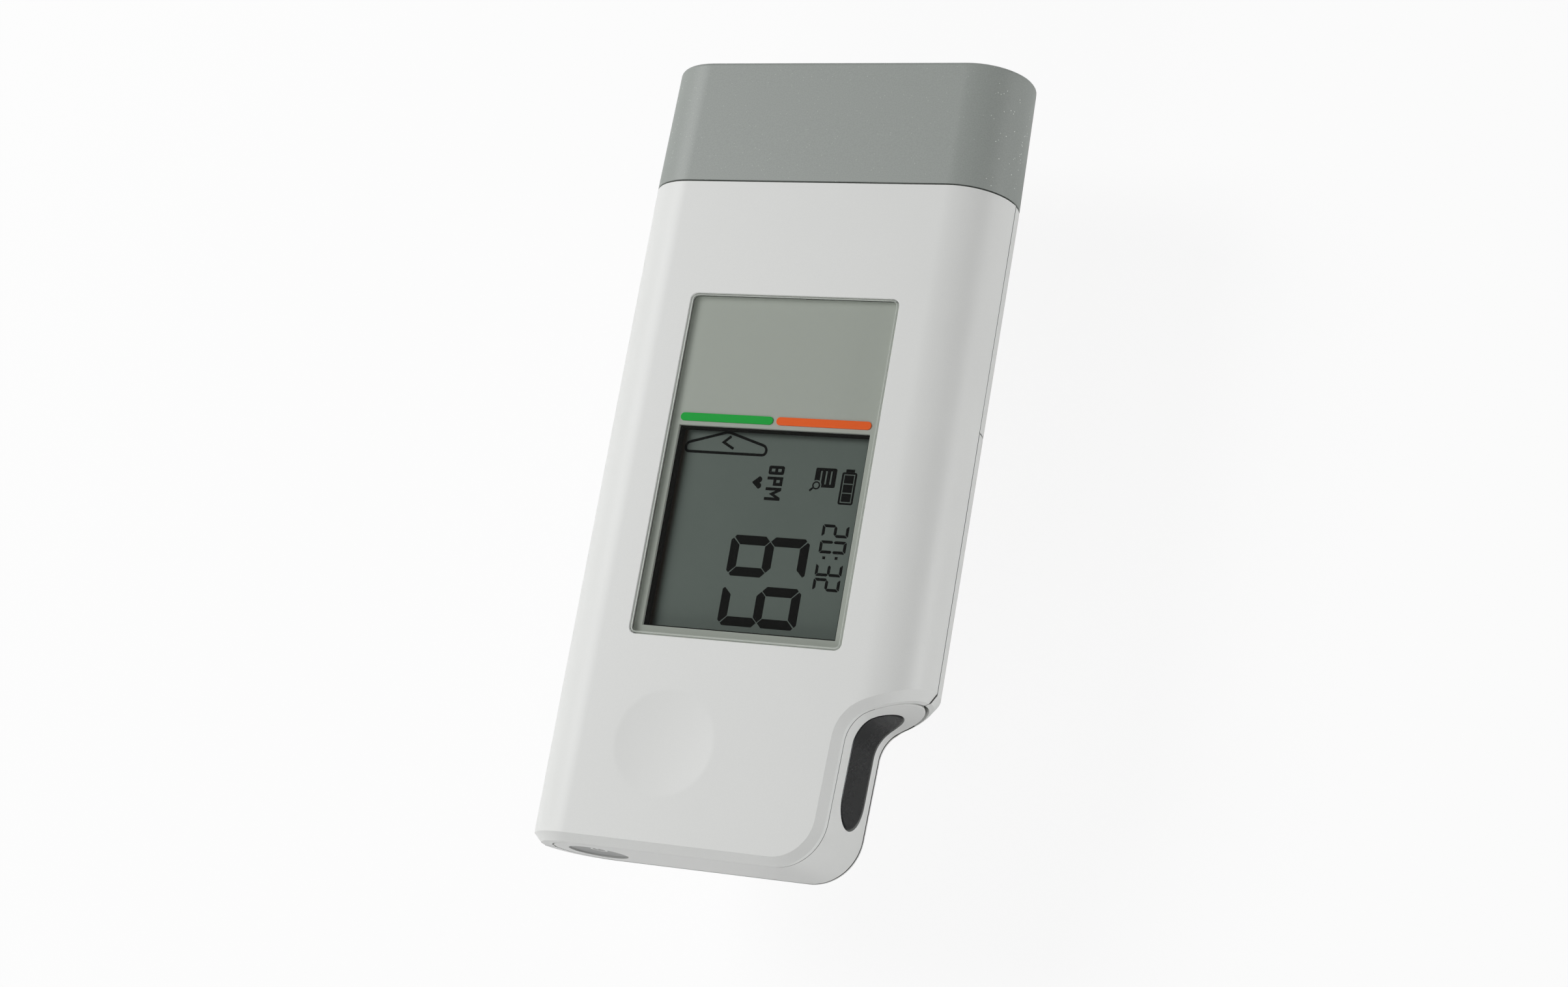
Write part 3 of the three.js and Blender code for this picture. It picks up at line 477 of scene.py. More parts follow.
def makeCaseFront():
    gap = body["seamGap"] / 2
    parting = body["partingZ"] + gap
    piece = hull("case_front", 0, bottomY, capSeamY - gap, parting, True)
    recessRim(piece, edges["chamfer"])
    partingGroove(piece, parting, capSeamY - gap)
    softSeam(piece, capSeamY - gap)
    carve(piece, hull("hollow", body["wall"], bottomY, capSeamY + body["reach"], parting - body["reach"] / 2, True))
    pad = 2 * window["pad"]
    padLow = maskLow.z - window["padFloor"]
    carve(piece, roundedPlate("pad", windowWidth + pad, windowLength + pad, window["radius"] + window["pad"],
                              windowCentre, padLow, frontZ - body["wall"] / 2), "UNION")
    for place in screwPlaces:
        carve(piece, rod("boss", front["bossRadius"], place, front["bossFoot"], frontZ - body["wall"] / 2), "UNION")
    screwHoles(piece, front["pilot"], 0, front["pilotTop"])
    carve(piece, bandPocket())
    carve(piece, windowTool())
    carve(piece, squareRod("opening", window["opening"] / 2, 0, frontZ))
    carve(piece, thumbDish())
    return smooth(piece)


rear = dict(rim=0.9, towerRadius=3.1, towerTop=4.2, headRoom=2.4, headSeat=2.3, shank=1.3, label=(30, 22),
            labelRadius=2, labelDrop=28, labelDepth=0.25)


def makeCaseRear():
    gap = body["seamGap"] / 2
    parting = body["partingZ"] - gap
    piece = hull("case_rear", 0, bottomY, doorSeamY - gap, parting, False)
    recessRim(piece, rear["rim"])
    partingGroove(piece, parting, doorSeamY - gap)
    softSeam(piece, doorSeamY - gap)
    carve(piece, hull("hollow", body["wall"], bottomY, doorSeamY + body["reach"], parting + body["reach"] / 2, False))
    for place in screwPlaces:
        carve(piece, rod("tower", rear["towerRadius"], place, body["wall"] / 2, rear["towerTop"]), "UNION")
    screwHoles(piece, rear["headRoom"], -body["reach"], rear["headSeat"])
    screwHoles(piece, rear["shank"], -body["reach"], frontZ)
    width, length = rear["label"]
    labelAt = (0, doorSeamY - rear["labelDrop"])
    carve(piece, roundedPlate("label", width, length, rear["labelRadius"], labelAt, -overrun, rear["labelDepth"]))
    carve(piece, bandPocket())
    return smooth(piece)


door = dict(wall=1.6, grips=4, gripStart=3.0, gripPitch=1.8, gripWidth=0.9, gripDepth=0.4, gripLength=12,
            gripRound=0.3)


def makeDoor():
    gap = body["seamGap"] / 2
    low, high = doorSeamY + gap, capSeamY - gap
    piece = keepAbove(bar("battery_cover", 0, low, high), body["partingZ"] - gap, False)
    partingGroove(piece, body["partingZ"] - gap, high)
    softSeam(piece, low)
    softSeam(piece, high)
    carve(piece, bar("hollow", door["wall"], low - body["reach"], high + body["reach"]))
    for k in range(door["grips"]):
        y = low + door["gripStart"] + k * door["gripPitch"] + door["gripWidth"] / 2
        tool = roundedPlate("grip", door["gripLength"], door["gripWidth"], door["gripWidth"] / 2 - near, (0, y),
                            -overrun, door["gripDepth"])
        bevelEdges(tool, door["gripRound"], 3, lambda a, b: a.z > 0 and b.z > 0)
        carve(piece, tool)
    return smooth(piece)


def makeBand():
    piece = ribbon("side_inlay", 0, band["thickness"], bandLowZ, bandHighZ, bandEnds(0))
    roundStrip(piece, band["soften"], 2)
    grow = electrode["gap"]
    half = electrode["height"] / 2 + grow
    carve(piece, ribbon("pocket", -electrode["pocketOut"], electrode["thickness"] + grow, electrode["midZ"] - half,
                        electrode["midZ"] + half, electrodeEnds()))
    carve(piece, rodAlongY("hole", button["radius"] + button["gap"], bandLeft.x, bandMidZ,
                           bottomY - band["holeOut"], bottomY + band["holeOut"]))
    return smooth(piece)


def electrodeEnds():
    radius = electrode["height"] / 2
    return [(onNeck(electrode["foot"] - radius), neckWay), (onShelf(electrode["tip"] - radius), shelfWay)]


def makeElectrode():
    half = electrode["height"] / 2
    piece = ribbon("finger_pad", 0, electrode["thickness"], electrode["midZ"] - half, electrode["midZ"] + half,
                   electrodeEnds())
    return smooth(roundStrip(piece, electrode["soften"], 3))


button = dict(radius=4.35, gap=0.14, recess=0.2, rim=0.25, dish=0.22, flange=5.3, flangeStart=2.5, flangeDeep=0.8,
              boss=2.0, bossDeep=0.8)


def makeButton():  # one profile turned about the button's axis: dished face, flange, boss
    face, rim, radius = button["recess"], button["rim"], button["radius"]
    flangeY = button["flangeStart"]
    backY = flangeY + button["flangeDeep"]
    bossY = backY + button["bossDeep"]
    ball = ((radius - rim) ** 2 + button["dish"] ** 2) / (2 * button["dish"])
    arc = math.degrees(math.asin((radius - rim) / ball))
    moves = [(0, face + button["dish"] - ball, -arc, 10), (radius - rim, face + rim, 90, 5), (radius, flangeY),
             (button["flange"], flangeY), (button["flange"], backY), (button["boss"], backY), (button["boss"], bossY),
             (0, bossY)]
    piece = spinOutline(drawOutline("button_key", (0, face + button["dish"]), moves), 72)
    turnInto(piece, "Y", 0, (bandLeft.x, bottomY, bandMidZ))
    return smooth(piece, 40)


cap = dict(wall=1.7, draft=0.3, edge=0.6)


def pullEnd(piece, atY, draft):  # the closed end is drawn in by the draft
    pick(piece, "VERT", lambda p: abs(p.y - atY) < near)
    size = (1 - draft / halfWidth, 1, 1 - draft / (frontZ / 2))
    bpy.ops.transform.resize(value=size, center_override=(0, atY * mm, frontZ / 2 * mm))
    endEdit()
    return piece


def makeCap():
    low = capSeamY + body["seamGap"] / 2
    piece = pullEnd(bar("cap_cup", 0, low, topY), topY, cap["draft"])
    roundEnd(piece, topY, cap["edge"], 5)
    softSeam(piece, low)
    hollow = bar("hollow", cap["wall"], low - overrun, topY - cap["wall"])
    carve(piece, pullEnd(hollow, topY - cap["wall"], cap["draft"]))
    return smooth(piece)


nose = dict(wall=1.2, edge=0.9, pinRadius=1.1, pinDeep=3, plateGap=0.15, plateUnder=0.02, plateEdge=0.25)
noseLow, noseHigh = corners("electrode_nose")
plateLow, plateHigh = corners("chest_electrode")


def stadium(name, grow, lowY, highY):  # the chest plate's outline along y
    height = plateHigh.z - plateLow.z + 2 * grow
    width = plateHigh.x - plateLow.x + 2 * grow
    middle = (0, (plateHigh.z + plateLow.z) / 2)
    return turnInto(roundedPlate(name, width, height, height / 2 - near, middle, -highY, -lowY, 16), "X", 90)


def makeNose():
    low, high = noseLow.y, noseHigh.y
    inset = halfWidth - noseHigh.x
    piece = bar("nose", inset, low, high)
    roundEnd(piece, high, nose["edge"], 5)
    carve(piece, bar("hollow", inset + nose["wall"], low - overrun, high - nose["wall"]))
    carve(piece, stadium("pocket", nose["plateGap"], plateLow.y - nose["plateUnder"], high + overrun))
    pinZ = (plateHigh.z + plateLow.z) / 2
    carve(piece, rodAlongY("pinHole", nose["pinRadius"], 0, pinZ, high - nose["pinDeep"], high))
    return smooth(piece)


def makeChestPlate():
    piece = stadium("chest_plate", 0, plateLow.y, plateHigh.y)
    return smooth(roundEnd(piece, plateHigh.y, nose["plateEdge"], 3))


def windowPlate(name, low, high):  # fills the window but for a thin gap
    gap = window["seenGap"]
    return roundedPlate(name, windowWidth - 2 * gap, windowLength - 2 * gap, window["radius"] - gap, windowCentre,
                        low, high)


def makeLens():
    piece = windowPlate("clear_lens", lensLow.z, lensHigh.z)
    return smooth(roundTop(piece, lensHigh.z, window["lensEdge"], 3))


gasket = dict(side=0.02, wall=0.22, foot=0.04, top=0.02, edge=0.06)


def makeGasket():  # black foam round the display, under the mask
    half = window["opening"] / 2 - gasket["side"]
    high = maskLow.z - gasket["top"]
    piece = squareRod("display_gasket", half, lcdHigh.z + gasket["foot"], high)
    carve(piece, squareRod("hole", half - gasket["wall"], 0, frontZ))
    return smooth(roundTop(piece, high, gasket["edge"], 2))


def makeMask():
    piece = windowPlate("mask_plate", maskLow.z, maskHigh.z)
    carve(piece, squareRod("hole", window["opening"] / 2, 0, frontZ))
    return smooth(roundTop(piece, maskHigh.z, window["maskEdge"], 1))


zoneEdge = 0.06


def makeZoneBar(node):  # a printed bar with round ends
    low, high = corners(node)
    size, middle = high - low, midway(node)
    piece = roundedPlate("bar", size.x, size.y, size.y / 2 - near, (middle.x, middle.y), low.z, high.z, 10)
    return smooth(roundTop(piece, high.z, zoneEdge, 2))


# Display prints. On the panel u runs along -y and v along x, so the display reads from the cap towards the bottom
printRise = 0.03


def patch(points, corner=0, rise=printRise, name="patch"):  # a thin flat shape, its corners rounded if wanted
    piece = raiseOutline(drawOutline(name, points[0], list(points[1:])), 0, rise)
    if corner:
        bevelEdges(piece, corner, 5, lambda a, b: abs(a.z - b.z) > rise / 2)
    return piece


def ontoPanel(pieces, name):
    piece = joinUp(pieces, name)
    turnInto(piece, "Z", -90, (0, 0, lcdHigh.z))
    return smooth(piece, 20, weighted=False)


def inward(points, distance):  # the same closed shape drawn further in
    moved = []
    for before, here, after in zip(points[-1:] + points[:-1], points, points[1:] + points[:1]):
        a = (Vector(here) - Vector(before)).normalized()
        b = (Vector(after) - Vector(here)).normalized()
        normal = (Vector((-a.y, a.x)) + Vector((-b.y, b.x))).normalized()
        moved.append(tuple(Vector(here) + normal * distance / normal.dot(Vector((-a.y, a.x)))))
    return moved


def cutRoom(piece, points, corner=0):  # cuts the closed shape right through a print
    tool = patch(points, corner, overrun)
    tool.location.z = -overrun * mm / 2
    return carve(piece, settle(tool))


def frameShape(points, width, corner=0):
    return cutRoom(patch(points, corner), inward(points, width), max(corner - width, 0))


def strokeShape(points, width):  # a bent line of even width
    path = [Vector(p) for p in points]
    left, right = [], []
    for k, here in enumerate(path):
        a = (here - path[k - 1]).normalized() if k else (path[1] - here).normalized()
        b = (path[k + 1] - here).normalized() if k + 1 < len(path) else a
        normal = (Vector((-a.y, a.x)) + Vector((-b.y, b.x))).normalized()
        reach = normal * width / 2 / normal.dot(Vector((-a.y, a.x)))
        left.append(tuple(here + reach))
        right.append(tuple(here - reach))
    return patch(right + left[::-1])


def rectangle(left, right, foot, top):
    return [(left, foot), (right, foot), (right, top), (left, top)]


cornerCut = 0.55  # share of the stroke that a segment's corners lose
litSegments = {"0": "abcdef", "2": "abged", "3": "abgcd", "6": "afgcde", "9": "abcdfg"}
bigDigits = dict(text="69", lefts=(13.15, 20.66), foot=-4.4, width=6.22, height=12.6, stroke=1.4, gap=0.2)
clock = dict(text="2032", lefts=(10.66, 13.1, 16.52, 18.74), foot=9.75, width=1.92, height=4.2, stroke=0.42, gap=0.1)
colon = dict(places=((15.69, 10.72), (15.65, 12.67)), size=0.42)


def segmentShapes(style):  # a along the top, then clockwise, g across the middle
    w, h, t, g = style["width"], style["height"], style["stroke"], style["gap"] / 2
    cut = cornerCut * t
    across = [(cut / 2 + g, h - cut / 2 + g / 2), (cut, h), (w - cut, h), (w - cut / 2 - g, h - cut / 2 + g / 2),
              (w - t - g, h - t), (t + g, h - t)]
    upright = [(0, h - cut), (cut / 2 - g / 2, h - cut / 2 - g), (t, h - t - g), (t, (h + t) / 2 + g),
               (t / 2, h / 2 + g), (0, (h + t) / 2 + g)]
    middle = [(t / 2 + g, h / 2), (t + g, (h + t) / 2), (w - t - g, (h + t) / 2), (w - t / 2 - g, h / 2),
              (w - t - g, (h - t) / 2), (t + g, (h - t) / 2)]
    over = lambda points: [(x, h - y) for x, y in points]
    beside = lambda points: [(w - x, y) for x, y in points]
    return dict(a=across, b=beside(upright), c=beside(over(upright)), d=over(across), e=over(upright), f=upright,
                g=middle)


def makeDigits():
    pieces = []
    for style in (bigDigits, clock):
        segments = {letter: patch(points, name="segment") for letter, points in segmentShapes(style).items()}
        for text, left in zip(style["text"], style["lefts"]):
            for letter in litSegments[text]:
                pieces.append(duplicate(segments[letter], "segment", (left, style["foot"], 0)))
        for segment in segments.values():
            bpy.data.objects.remove(segment)
    half = colon["size"] / 2
    pieces += [patch(rectangle(u - half, u + half, v - half, v + half)) for u, v in colon["places"]]
    return ontoPanel(pieces, "lcd_digits")


overlap = 0.02  # how far the parts of a print run into each other
batteryIcon = dict(left=2.67, right=7.57, foot=11.4, top=13.75, stroke=0.28, corner=0.3, tip=(2.2, 11.95, 13.3),
                   cells=3, room=0.16, between=0.16)
memoryIcon = dict(left=2.2, right=5.15, foot=7.15, top=10.5, corner=0.25, lines=(8.1, 8.9, 9.7), line=0.26,
                  margin=0.45, lensAt=(4.89, 7.56), lensRadius=0.62, lensStroke=0.2, handleEnd=(5.75, 6.6),
                  handleStroke=0.28)


def makeIcons():
    icon = batteryIcon
    left, right, foot, top = icon["left"], icon["right"], icon["foot"], icon["top"]
    tip, tipFoot, tipTop = icon["tip"]
    pieces = [frameShape(rectangle(left, right, foot, top), icon["stroke"], icon["corner"]),
              patch(rectangle(tip, left - overlap, tipFoot, tipTop))]
    inset = icon["stroke"] + icon["room"]
    width = (right - left - 2 * inset - (icon["cells"] - 1) * icon["between"]) / icon["cells"]
    level = patch(rectangle(left + inset, left + inset + width, foot + inset, top - inset))
    pieces += [level] + [duplicate(level, "level", (k * (width + icon["between"]), 0, 0))
                         for k in range(1, icon["cells"])]
    icon = memoryIcon
    left, right = icon["left"], icon["right"]
    page = patch(rectangle(left, right, icon["foot"], icon["top"]), icon["corner"])
    left, right, half = left + icon["margin"], right - icon["margin"], icon["line"] / 2
    for v in icon["lines"]:
        cutRoom(page, rectangle(left, right, v - half, v + half))
    lens, end = Vector(icon["lensAt"]), Vector(icon["handleEnd"])
    radius, width = icon["lensRadius"], icon["lensStroke"]
    carve(page, rod("room", radius + width, lens, -overrun, overrun))
    glass = rod("glass", radius, lens, 0, printRise)
    carve(glass, rod("hole", radius - width, lens, -overrun, overrun))
    handleStart = lens + (end - lens).normalized() * (radius + overlap)
    pieces += [page, glass, strokeShape([handleStart, end], icon["handleStroke"])]
    return ontoPanel(pieces, "lcd_icons")


pulse = dict(heartAt=(5.0, -1.85), heartSize=0.95, heartShoulder=0.15, foot=-0.4, height=2.5, stroke=0.44,
             lefts=(2.3, 4.0, 5.65), widths=(1.35, 1.35, 1.95), corner=0.3, valley=0.65, slope=0.85)


def makePulseUnit():  # a heart and the three letters for beats in a minute, each letter cut from one flat shape
    u, v = pulse["heartAt"]
    size = pulse["heartSize"]
    start, shoulder = (u, v - size), v + pulse["heartShoulder"] * size
    moves = [(u + size, shoulder), (u + size / 2, shoulder, 180, 14), (u - size / 2, shoulder, 180, 14), start]
    mark = raiseOutline(drawOutline("heart", start, moves), 0, printRise)
    foot, top, line = pulse["foot"], pulse["foot"] + pulse["height"], pulse["stroke"]
    low, high = (foot + top - line) / 2, (foot + top + line) / 2
    sides = [(left, left + width) for left, width in zip(pulse["lefts"], pulse["widths"])]
    left, right = sides[0]
    letterB = patch(rectangle(left, right, foot, top), pulse["corner"])
    cutRoom(letterB, rectangle(left + line, right - line, foot + line, low))
    cutRoom(letterB, rectangle(left + line, right - line, high, top - line))
    left, right = sides[1]
    letterP = patch([(left, foot), (left + line, foot), (left + line, low), (right, low), (right, top), (left, top)])
    cutRoom(letterP, rectangle(left + line, right - line, high, top - line))
    left, right = sides[2]
    middle, valley, slope = (left + right) / 2, foot + pulse["valley"], pulse["slope"]
    letterM = patch([(left, foot), (left + line, foot), (left + line, top - slope), (middle, valley),
                     (right - line, top - slope), (right - line, foot), (right, foot), (right, top),
                     (right - line, top), (middle, valley + slope), (left + line, top), (left, top)])
    return ontoPanel([mark, letterB, letterP, letterM], "lcd_units")


marker = dict(low=-14.85, high=-1.2, base=1.0, shoulder=-0.67, peak=-2.7, stroke=0.4, corner=0.8,
              tick=((-1.84, -7.47), (-0.87, -8.56), (0.07, -6.79)))


def makeMarker():  # the five-sided frame that points at a zone bar, with a tick in it
    low, high, base, shoulder = marker["low"], marker["high"], marker["base"], marker["shoulder"]
    points = [(base, low), (base, high), (shoulder, high), (marker["peak"], (low + high) / 2), (shoulder, low)]
    return ontoPanel([frameShape(points, marker["stroke"], marker["corner"]),
                      strokeShape(marker["tick"], marker["stroke"])], "lcd_marker")


powerSign = dict(radius=1.15, stroke=0.28, opening=35, barTop=1.5, barFoot=0.35, thick=0.06, proud=0.035)


def makePowerSign():  # ring with a bar in its opening, printed on the dished face
    radius, width = powerSign["radius"], powerSign["stroke"]
    thick = powerSign["thick"]
    depth = button["recess"] + button["dish"] - powerSign["proud"] + thick
    place = (bandLeft.x, bottomY + depth, bandMidZ)
    start = towards(90 + powerSign["opening"]) * radius
    outer = start * (1 + width / radius / 2)
    turn = 360 - 2 * powerSign["opening"]
    end = towards(90 - powerSign["opening"]) * (radius - width / 2)
    moves = [(0, 0, turn, 30), tuple(end), (0, 0, -turn, 30), tuple(outer)]
    sign = raiseOutline(drawOutline("power_sign", outer, moves), 0, thick)
    upright = patch(rectangle(-width / 2, width / 2, powerSign["barFoot"], powerSign["barTop"]), rise=thick)
    piece = joinUp([sign, upright], "power_sign")
    turnInto(piece, "X", 90, place)
    return smooth(piece, 30, weighted=False)


cell = dict(nub=1.9, nubLong=1.0, nubFoot=0.3, nubRise=0.15, nubRound=0.3, crimp=0.5, sealIn=0.2, sealDeep=0.25,
            bareFrom=20)  # from the cell's middle, where its wrap ends


def makeCell(number):  # can, shoulder and nub turned about the cell's axis
    low, high = corners(f"battery_cell_{number}")
    nubRight = number != 2
    long = high.x - low.x
    radius = (high.z - low.z) / 2
    crimp, nub, nubRound = cell["crimp"], cell["nub"], cell["nubRound"]
    shoulder = long - cell["nubLong"]
    seal = shoulder - cell["sealDeep"]
    moves = [(radius - crimp, 0), (radius - crimp, crimp, 90, 4), (radius, shoulder - crimp),
             (radius - crimp, shoulder - crimp, 90, 4), (radius - 2 * crimp, shoulder),
             (radius - 2 * crimp - cell["sealIn"], seal), (nub + cell["nubFoot"], seal), (nub, seal + cell["nubRise"]),
             (nub, long - nubRound), (nub - nubRound, long - nubRound, 90, 4), (0, long)]
    piece = spinOutline(drawOutline(f"cell_{number}", (0, 0), moves), 48)
    middle = (low + high) / 2
    turnInto(piece, "Z", -90 if nubRight else 90, (low.x if nubRight else high.x, middle.y, middle.z))
    return smooth(piece, 35)


# Shader sums: a socket that adds its own Math, Vector Math and Mix nodes
class Link:
    def __init__(self, finish, socket):
        self.finish, self.socket = finish, socket

    def sum(self, operation, *parts):
        if any(isinstance(part, Link) and part.socket.type in ("VECTOR", "RGBA") for part in parts):
            whole = [(part,) * 3 if isinstance(part, (int, float)) else part for part in parts]
            return self.finish.node("ShaderNodeVectorMath", {"operation": operation}, *whole)
        return self.finish.node("ShaderNodeMath", {"operation": operation}, *parts)

    def __add__(self, other):
        return self.sum("ADD", self, other)

    def __radd__(self, other):
        return self.sum("ADD", other, self)

    def __sub__(self, other):
        return self.sum("SUBTRACT", self, other)

    def __rsub__(self, other):
        return self.sum("SUBTRACT", other, self)

    def __mul__(self, other):
        return self.sum("MULTIPLY", self, other)

    def __rmul__(self, other):
        return self.sum("MULTIPLY", other, self)

    def __lt__(self, other):
        return self.sum("LESS_THAN", self, other)

    def __gt__(self, other):
        return self.sum("GREATER_THAN", self, other)

    def part(self, name):  # another output of the same node
        return Link(self.finish, self.socket.node.outputs[name])

    def between(self, low, high, toLow=0.0, toHigh=1.0):  # the stretch from low to high spread over the new one
        return self.finish.node("ShaderNodeMapRange", {"interpolation_type": "SMOOTHSTEP"}, self, low, high, toLow,
                                toHigh)


class Finish:
    def __init__(self, name, **values):
        self.material = bpy.data.materials.new(name)
        self.material.use_nodes = True
        self.tree = self.material.node_tree
        self.shader = self.tree.nodes["Principled BSDF"]
        self.set(**values)

    def fill(self, socket, value):
        if isinstance(value, Link):
            self.tree.links.new(value.socket, socket)
        elif value is not None:
            socket.default_value = value

    def node(self, kind, settings=None, *values, **named):
        node = self.tree.nodes.new(kind)
        for key, value in (settings or {}).items():
            setattr(node, key, value)
        for socket, value in zip(node.inputs, values):
            self.fill(socket, value)
        for key, value in named.items():
            self.fill(node.inputs[key.replace("_", " ")], value)
        return Link(self, next(socket for socket in node.outputs if socket.enabled))

    def set(self, **values):
        for key, value in values.items():
            self.fill(self.shader.inputs[key.replace("_", " ")], value)
        return self

    def place(self):
        return self.node("ShaderNodeTexCoord").part("Object")

    def noise(self, size, detail=2.0, roughness=0.5, where=None):  # size of the grains in millimetres
        return self.node("ShaderNodeTexNoise", None, Vector=where or self.place(), Scale=1 / (size * mm), Detail=detail,
                         Roughness=roughness)

    def cells(self, size):  # rounded cells, with the distance from the middle of each
        return self.node("ShaderNodeTexVoronoi", {"feature": "F1"}, Vector=self.place(), Scale=1 / (size * mm))

    def stripes(self, scale):  # thin stripes side by side along x
        return self.node("ShaderNodeTexWave", {"bands_direction": "X"}, Vector=self.place(), Scale=scale / mm)

    def mix(self, amount, one, other):
        node = self.tree.nodes.new("ShaderNodeMix")
        node.data_type = "RGBA"
        for socket, value in ((node.inputs["Factor"], amount), (node.inputs[6], one), (node.inputs[7], other)):
            self.fill(socket, value)
        return Link(self, node.outputs[2])

    def bump(self, height, depth):  # depth in millimetres
        return self.set(Normal=self.node("ShaderNodeBump", None, Height=height, Distance=depth * mm, Strength=1.0))


def colour(red, green, blue):  # screen values 0 to 255
    linear = [(c / 255 / 12.92) if c <= 10 else ((c / 255 + 0.055) / 1.055) ** 2.4 for c in (red, green, blue)]
    return (*linear, 1)


def shade(tone, factor):
    return (*[c * factor for c in tone[:3]], 1)


# Moulded plastic: fine spark-eroded grain, a slow change of tone, and faint dull patches where hands go
def mouldedPlastic(name, tone, roughness=0.42, grain=0.16, depth=0.006, tones=0.03, specular=0.4):
    finish = Finish(name, Specular_IOR_Level=specular)
    fine = finish.noise(grain, 3.0, 0.6)
    cloud = finish.noise(14.0, 2.0)
    base = finish.mix(cloud, shade(tone, 1 - tones), shade(tone, 1 + tones))
    finish.set(Base_Color=finish.mix(fine.between(0.35, 0.65) * 0.25, base, shade(tone, 1 - 2 * tones)))
    finish.set(Roughness=roughness - 0.05 + 0.1 * cloud + 0.08 * fine)
    return finish.bump(fine, depth)


def sparklePlastic(name, tone):  # grey with mica specks and pale flecks, both brighter on sloping faces as painted glint
    finish = Finish(name, Specular_IOR_Level=0.45)
    fine = finish.noise(0.2, 3.0, 0.6)
    cells = finish.cells(0.34)
    lucky = finish.node("ShaderNodeSeparateColor", None, cells.part("Color"))
    facing = finish.node("ShaderNodeSeparateXYZ", None, finish.node("ShaderNodeNewGeometry").part("Normal")).part("Z")
    slopeGlint = facing.between(0.97, 0.6)  # painted glint: the specks and pale flecks show more on the sloping faces, where they would catch the light
    speck = (lucky > 0.94) * (cells.part("Distance") < 0.23) * (0.2 + 0.8 * slopeGlint)
    # pale flecks at random, stronger on the sloping faces as painted glint
    paleFlecksAndGlint = (lucky.part("Green") > 0.86) * (cells.part("Distance") < 0.2)
    base = finish.mix(fine.between(0.3, 0.7), shade(tone, 0.94), shade(tone, 1.05))
    base = finish.mix(paleFlecksAndGlint * 0.3 * slopeGlint, base, shade(tone, 1.35))
    finish.set(Base_Color=finish.mix(speck * 0.85, base, colour(236, 240, 236)))
    finish.set(Roughness=0.44 - 0.2 * speck + 0.08 * fine)
    return finish.bump(fine + speck * 0.5, 0.005)


def metal(name, tone, roughness, grain=0.25, streak=8.0, depth=0.003):  # rolled or drawn, with long fine marks
    finish = Finish(name, Metallic=1.0)
    stretched = finish.node("ShaderNodeMapping", None, Vector=finish.place(), Scale=(1.0, streak, 1.0))
    marks = finish.noise(grain, 2.0, where=stretched)
    cloud = finish.noise(4.0, 2.0)
    finish.set(Base_Color=finish.mix(cloud, shade(tone, 0.9), shade(tone, 1.06)))
    finish.set(Roughness=roughness - 0.04 + 0.08 * cloud + 0.08 * marks)
    return finish.bump(marks, depth)


def clearPlastic(name, tone, alpha, specular, roughness, change, size):
    finish = Finish(name, Base_Color=tone, Alpha=alpha, Specular_IOR_Level=specular)
    return finish.set(Roughness=roughness + change * finish.noise(size))


def makeFinishes():
    return dict(
        white=mouldedPlastic("whitePlastic", colour(222, 223, 221)),
        band=mouldedPlastic("inlayPlastic", colour(220, 221, 219), 0.4),
        cap=sparklePlastic("capPlastic", colour(143, 148, 144)),
        inner=mouldedPlastic("innerPlastic", colour(196, 198, 194), 0.5, 0.22, 0.008),
        black=mouldedPlastic("blackPlastic", colour(34, 34, 35), 0.5, 0.14, 0.006, 0.06),
        key=mouldedPlastic("keyPlastic", colour(142, 143, 142), 0.36, 0.12, 0.004),
        steel=metal("steel", colour(188, 189, 190), 0.3),
        plate=metal("platedSteel", colour(206, 206, 203), 0.22),
        spring=metal("springWire", colour(172, 172, 170), 0.34),
        film=metal("silverFilm", colour(196, 197, 199), 0.24, 0.6, 1.0),
        foam=mouldedPlastic("blackFoam", colour(14, 13, 12), 0.85, 0.09, 0.02, 0.08, 0.1),
        chip=mouldedPlastic("chipResin", colour(30, 30, 32), 0.55, 0.1, 0.006, 0.05),
        # painted shade for the faces in the joints of the case
        seam=mouldedPlastic("paintedSeamShade", colour(112, 113, 112), 0.6, 0.16, 0.004, 0.05, 0.2),
        pad=metal("darkPad", colour(44, 45, 46), 0.24, 0.3, 1.0, 0.001),
        lens=clearPlastic("clearLens", (0.05, 0.055, 0.05, 1), 0.06, 0.12, 0.04, 0.05, 30.0),
        # painted highlight for the rounded edge of the lens
        lensEdge=clearPlastic("lensEdge", colour(206, 211, 204), 0.5, 0.4, 0.2, 0.1, 0.3),
        mask=mouldedPlastic("maskPrint", colour(182, 188, 179), 0.55, 0.08, 0.002, 0.015, 0.05),
        green=mouldedPlastic("greenPrint", colour(34, 178, 70), 0.45, 0.08, 0.002, 0.03, 0.05),
        orange=mouldedPlastic("orangePrint", colour(255, 108, 44), 0.45, 0.08, 0.002, 0.03, 0.05),
        ink=mouldedPlastic("lcdInk", colour(8, 8, 8), 0.5, 0.06, 0.001, 0.05, 0.02),
        sign=mouldedPlastic("signPrint", colour(232, 234, 232), 0.45, 0.08, 0.002),
        panel=lcdPanel(),
        board=circuitBoard(),
        rubber=stripedRubber(),
        flex=flexFilm(),
        wrap=cellWrap(),
    )


darkerLeftEdge = (-15.0, -14.2)  # where the dark left edge ends, along x from the display's middle


def lcdPanel():  # greenish glass, darker towards its left edge
    finish = Finish("lcdPanel", Specular_IOR_Level=0.05)
    where = finish.node("ShaderNodeSeparateXYZ", None, finish.place())
    left = where.between(*[(lcdCentre[0] + x) * mm for x in darkerLeftEdge])
    cloud = finish.noise(6.0, 2.0)
    grid = finish.cells(0.12)
    lit = finish.mix(cloud, colour(98, 108, 102), colour(102, 112, 106))
    lit = finish.mix(grid.part("Distance") * 0.15, lit, colour(92, 102, 96))
    finish.set(Base_Color=finish.mix(left, colour(60, 52, 46), lit))
    finish.set(Roughness=0.3 + 0.06 * cloud)
    return finish.bump(grid.part("Distance"), 0.001)


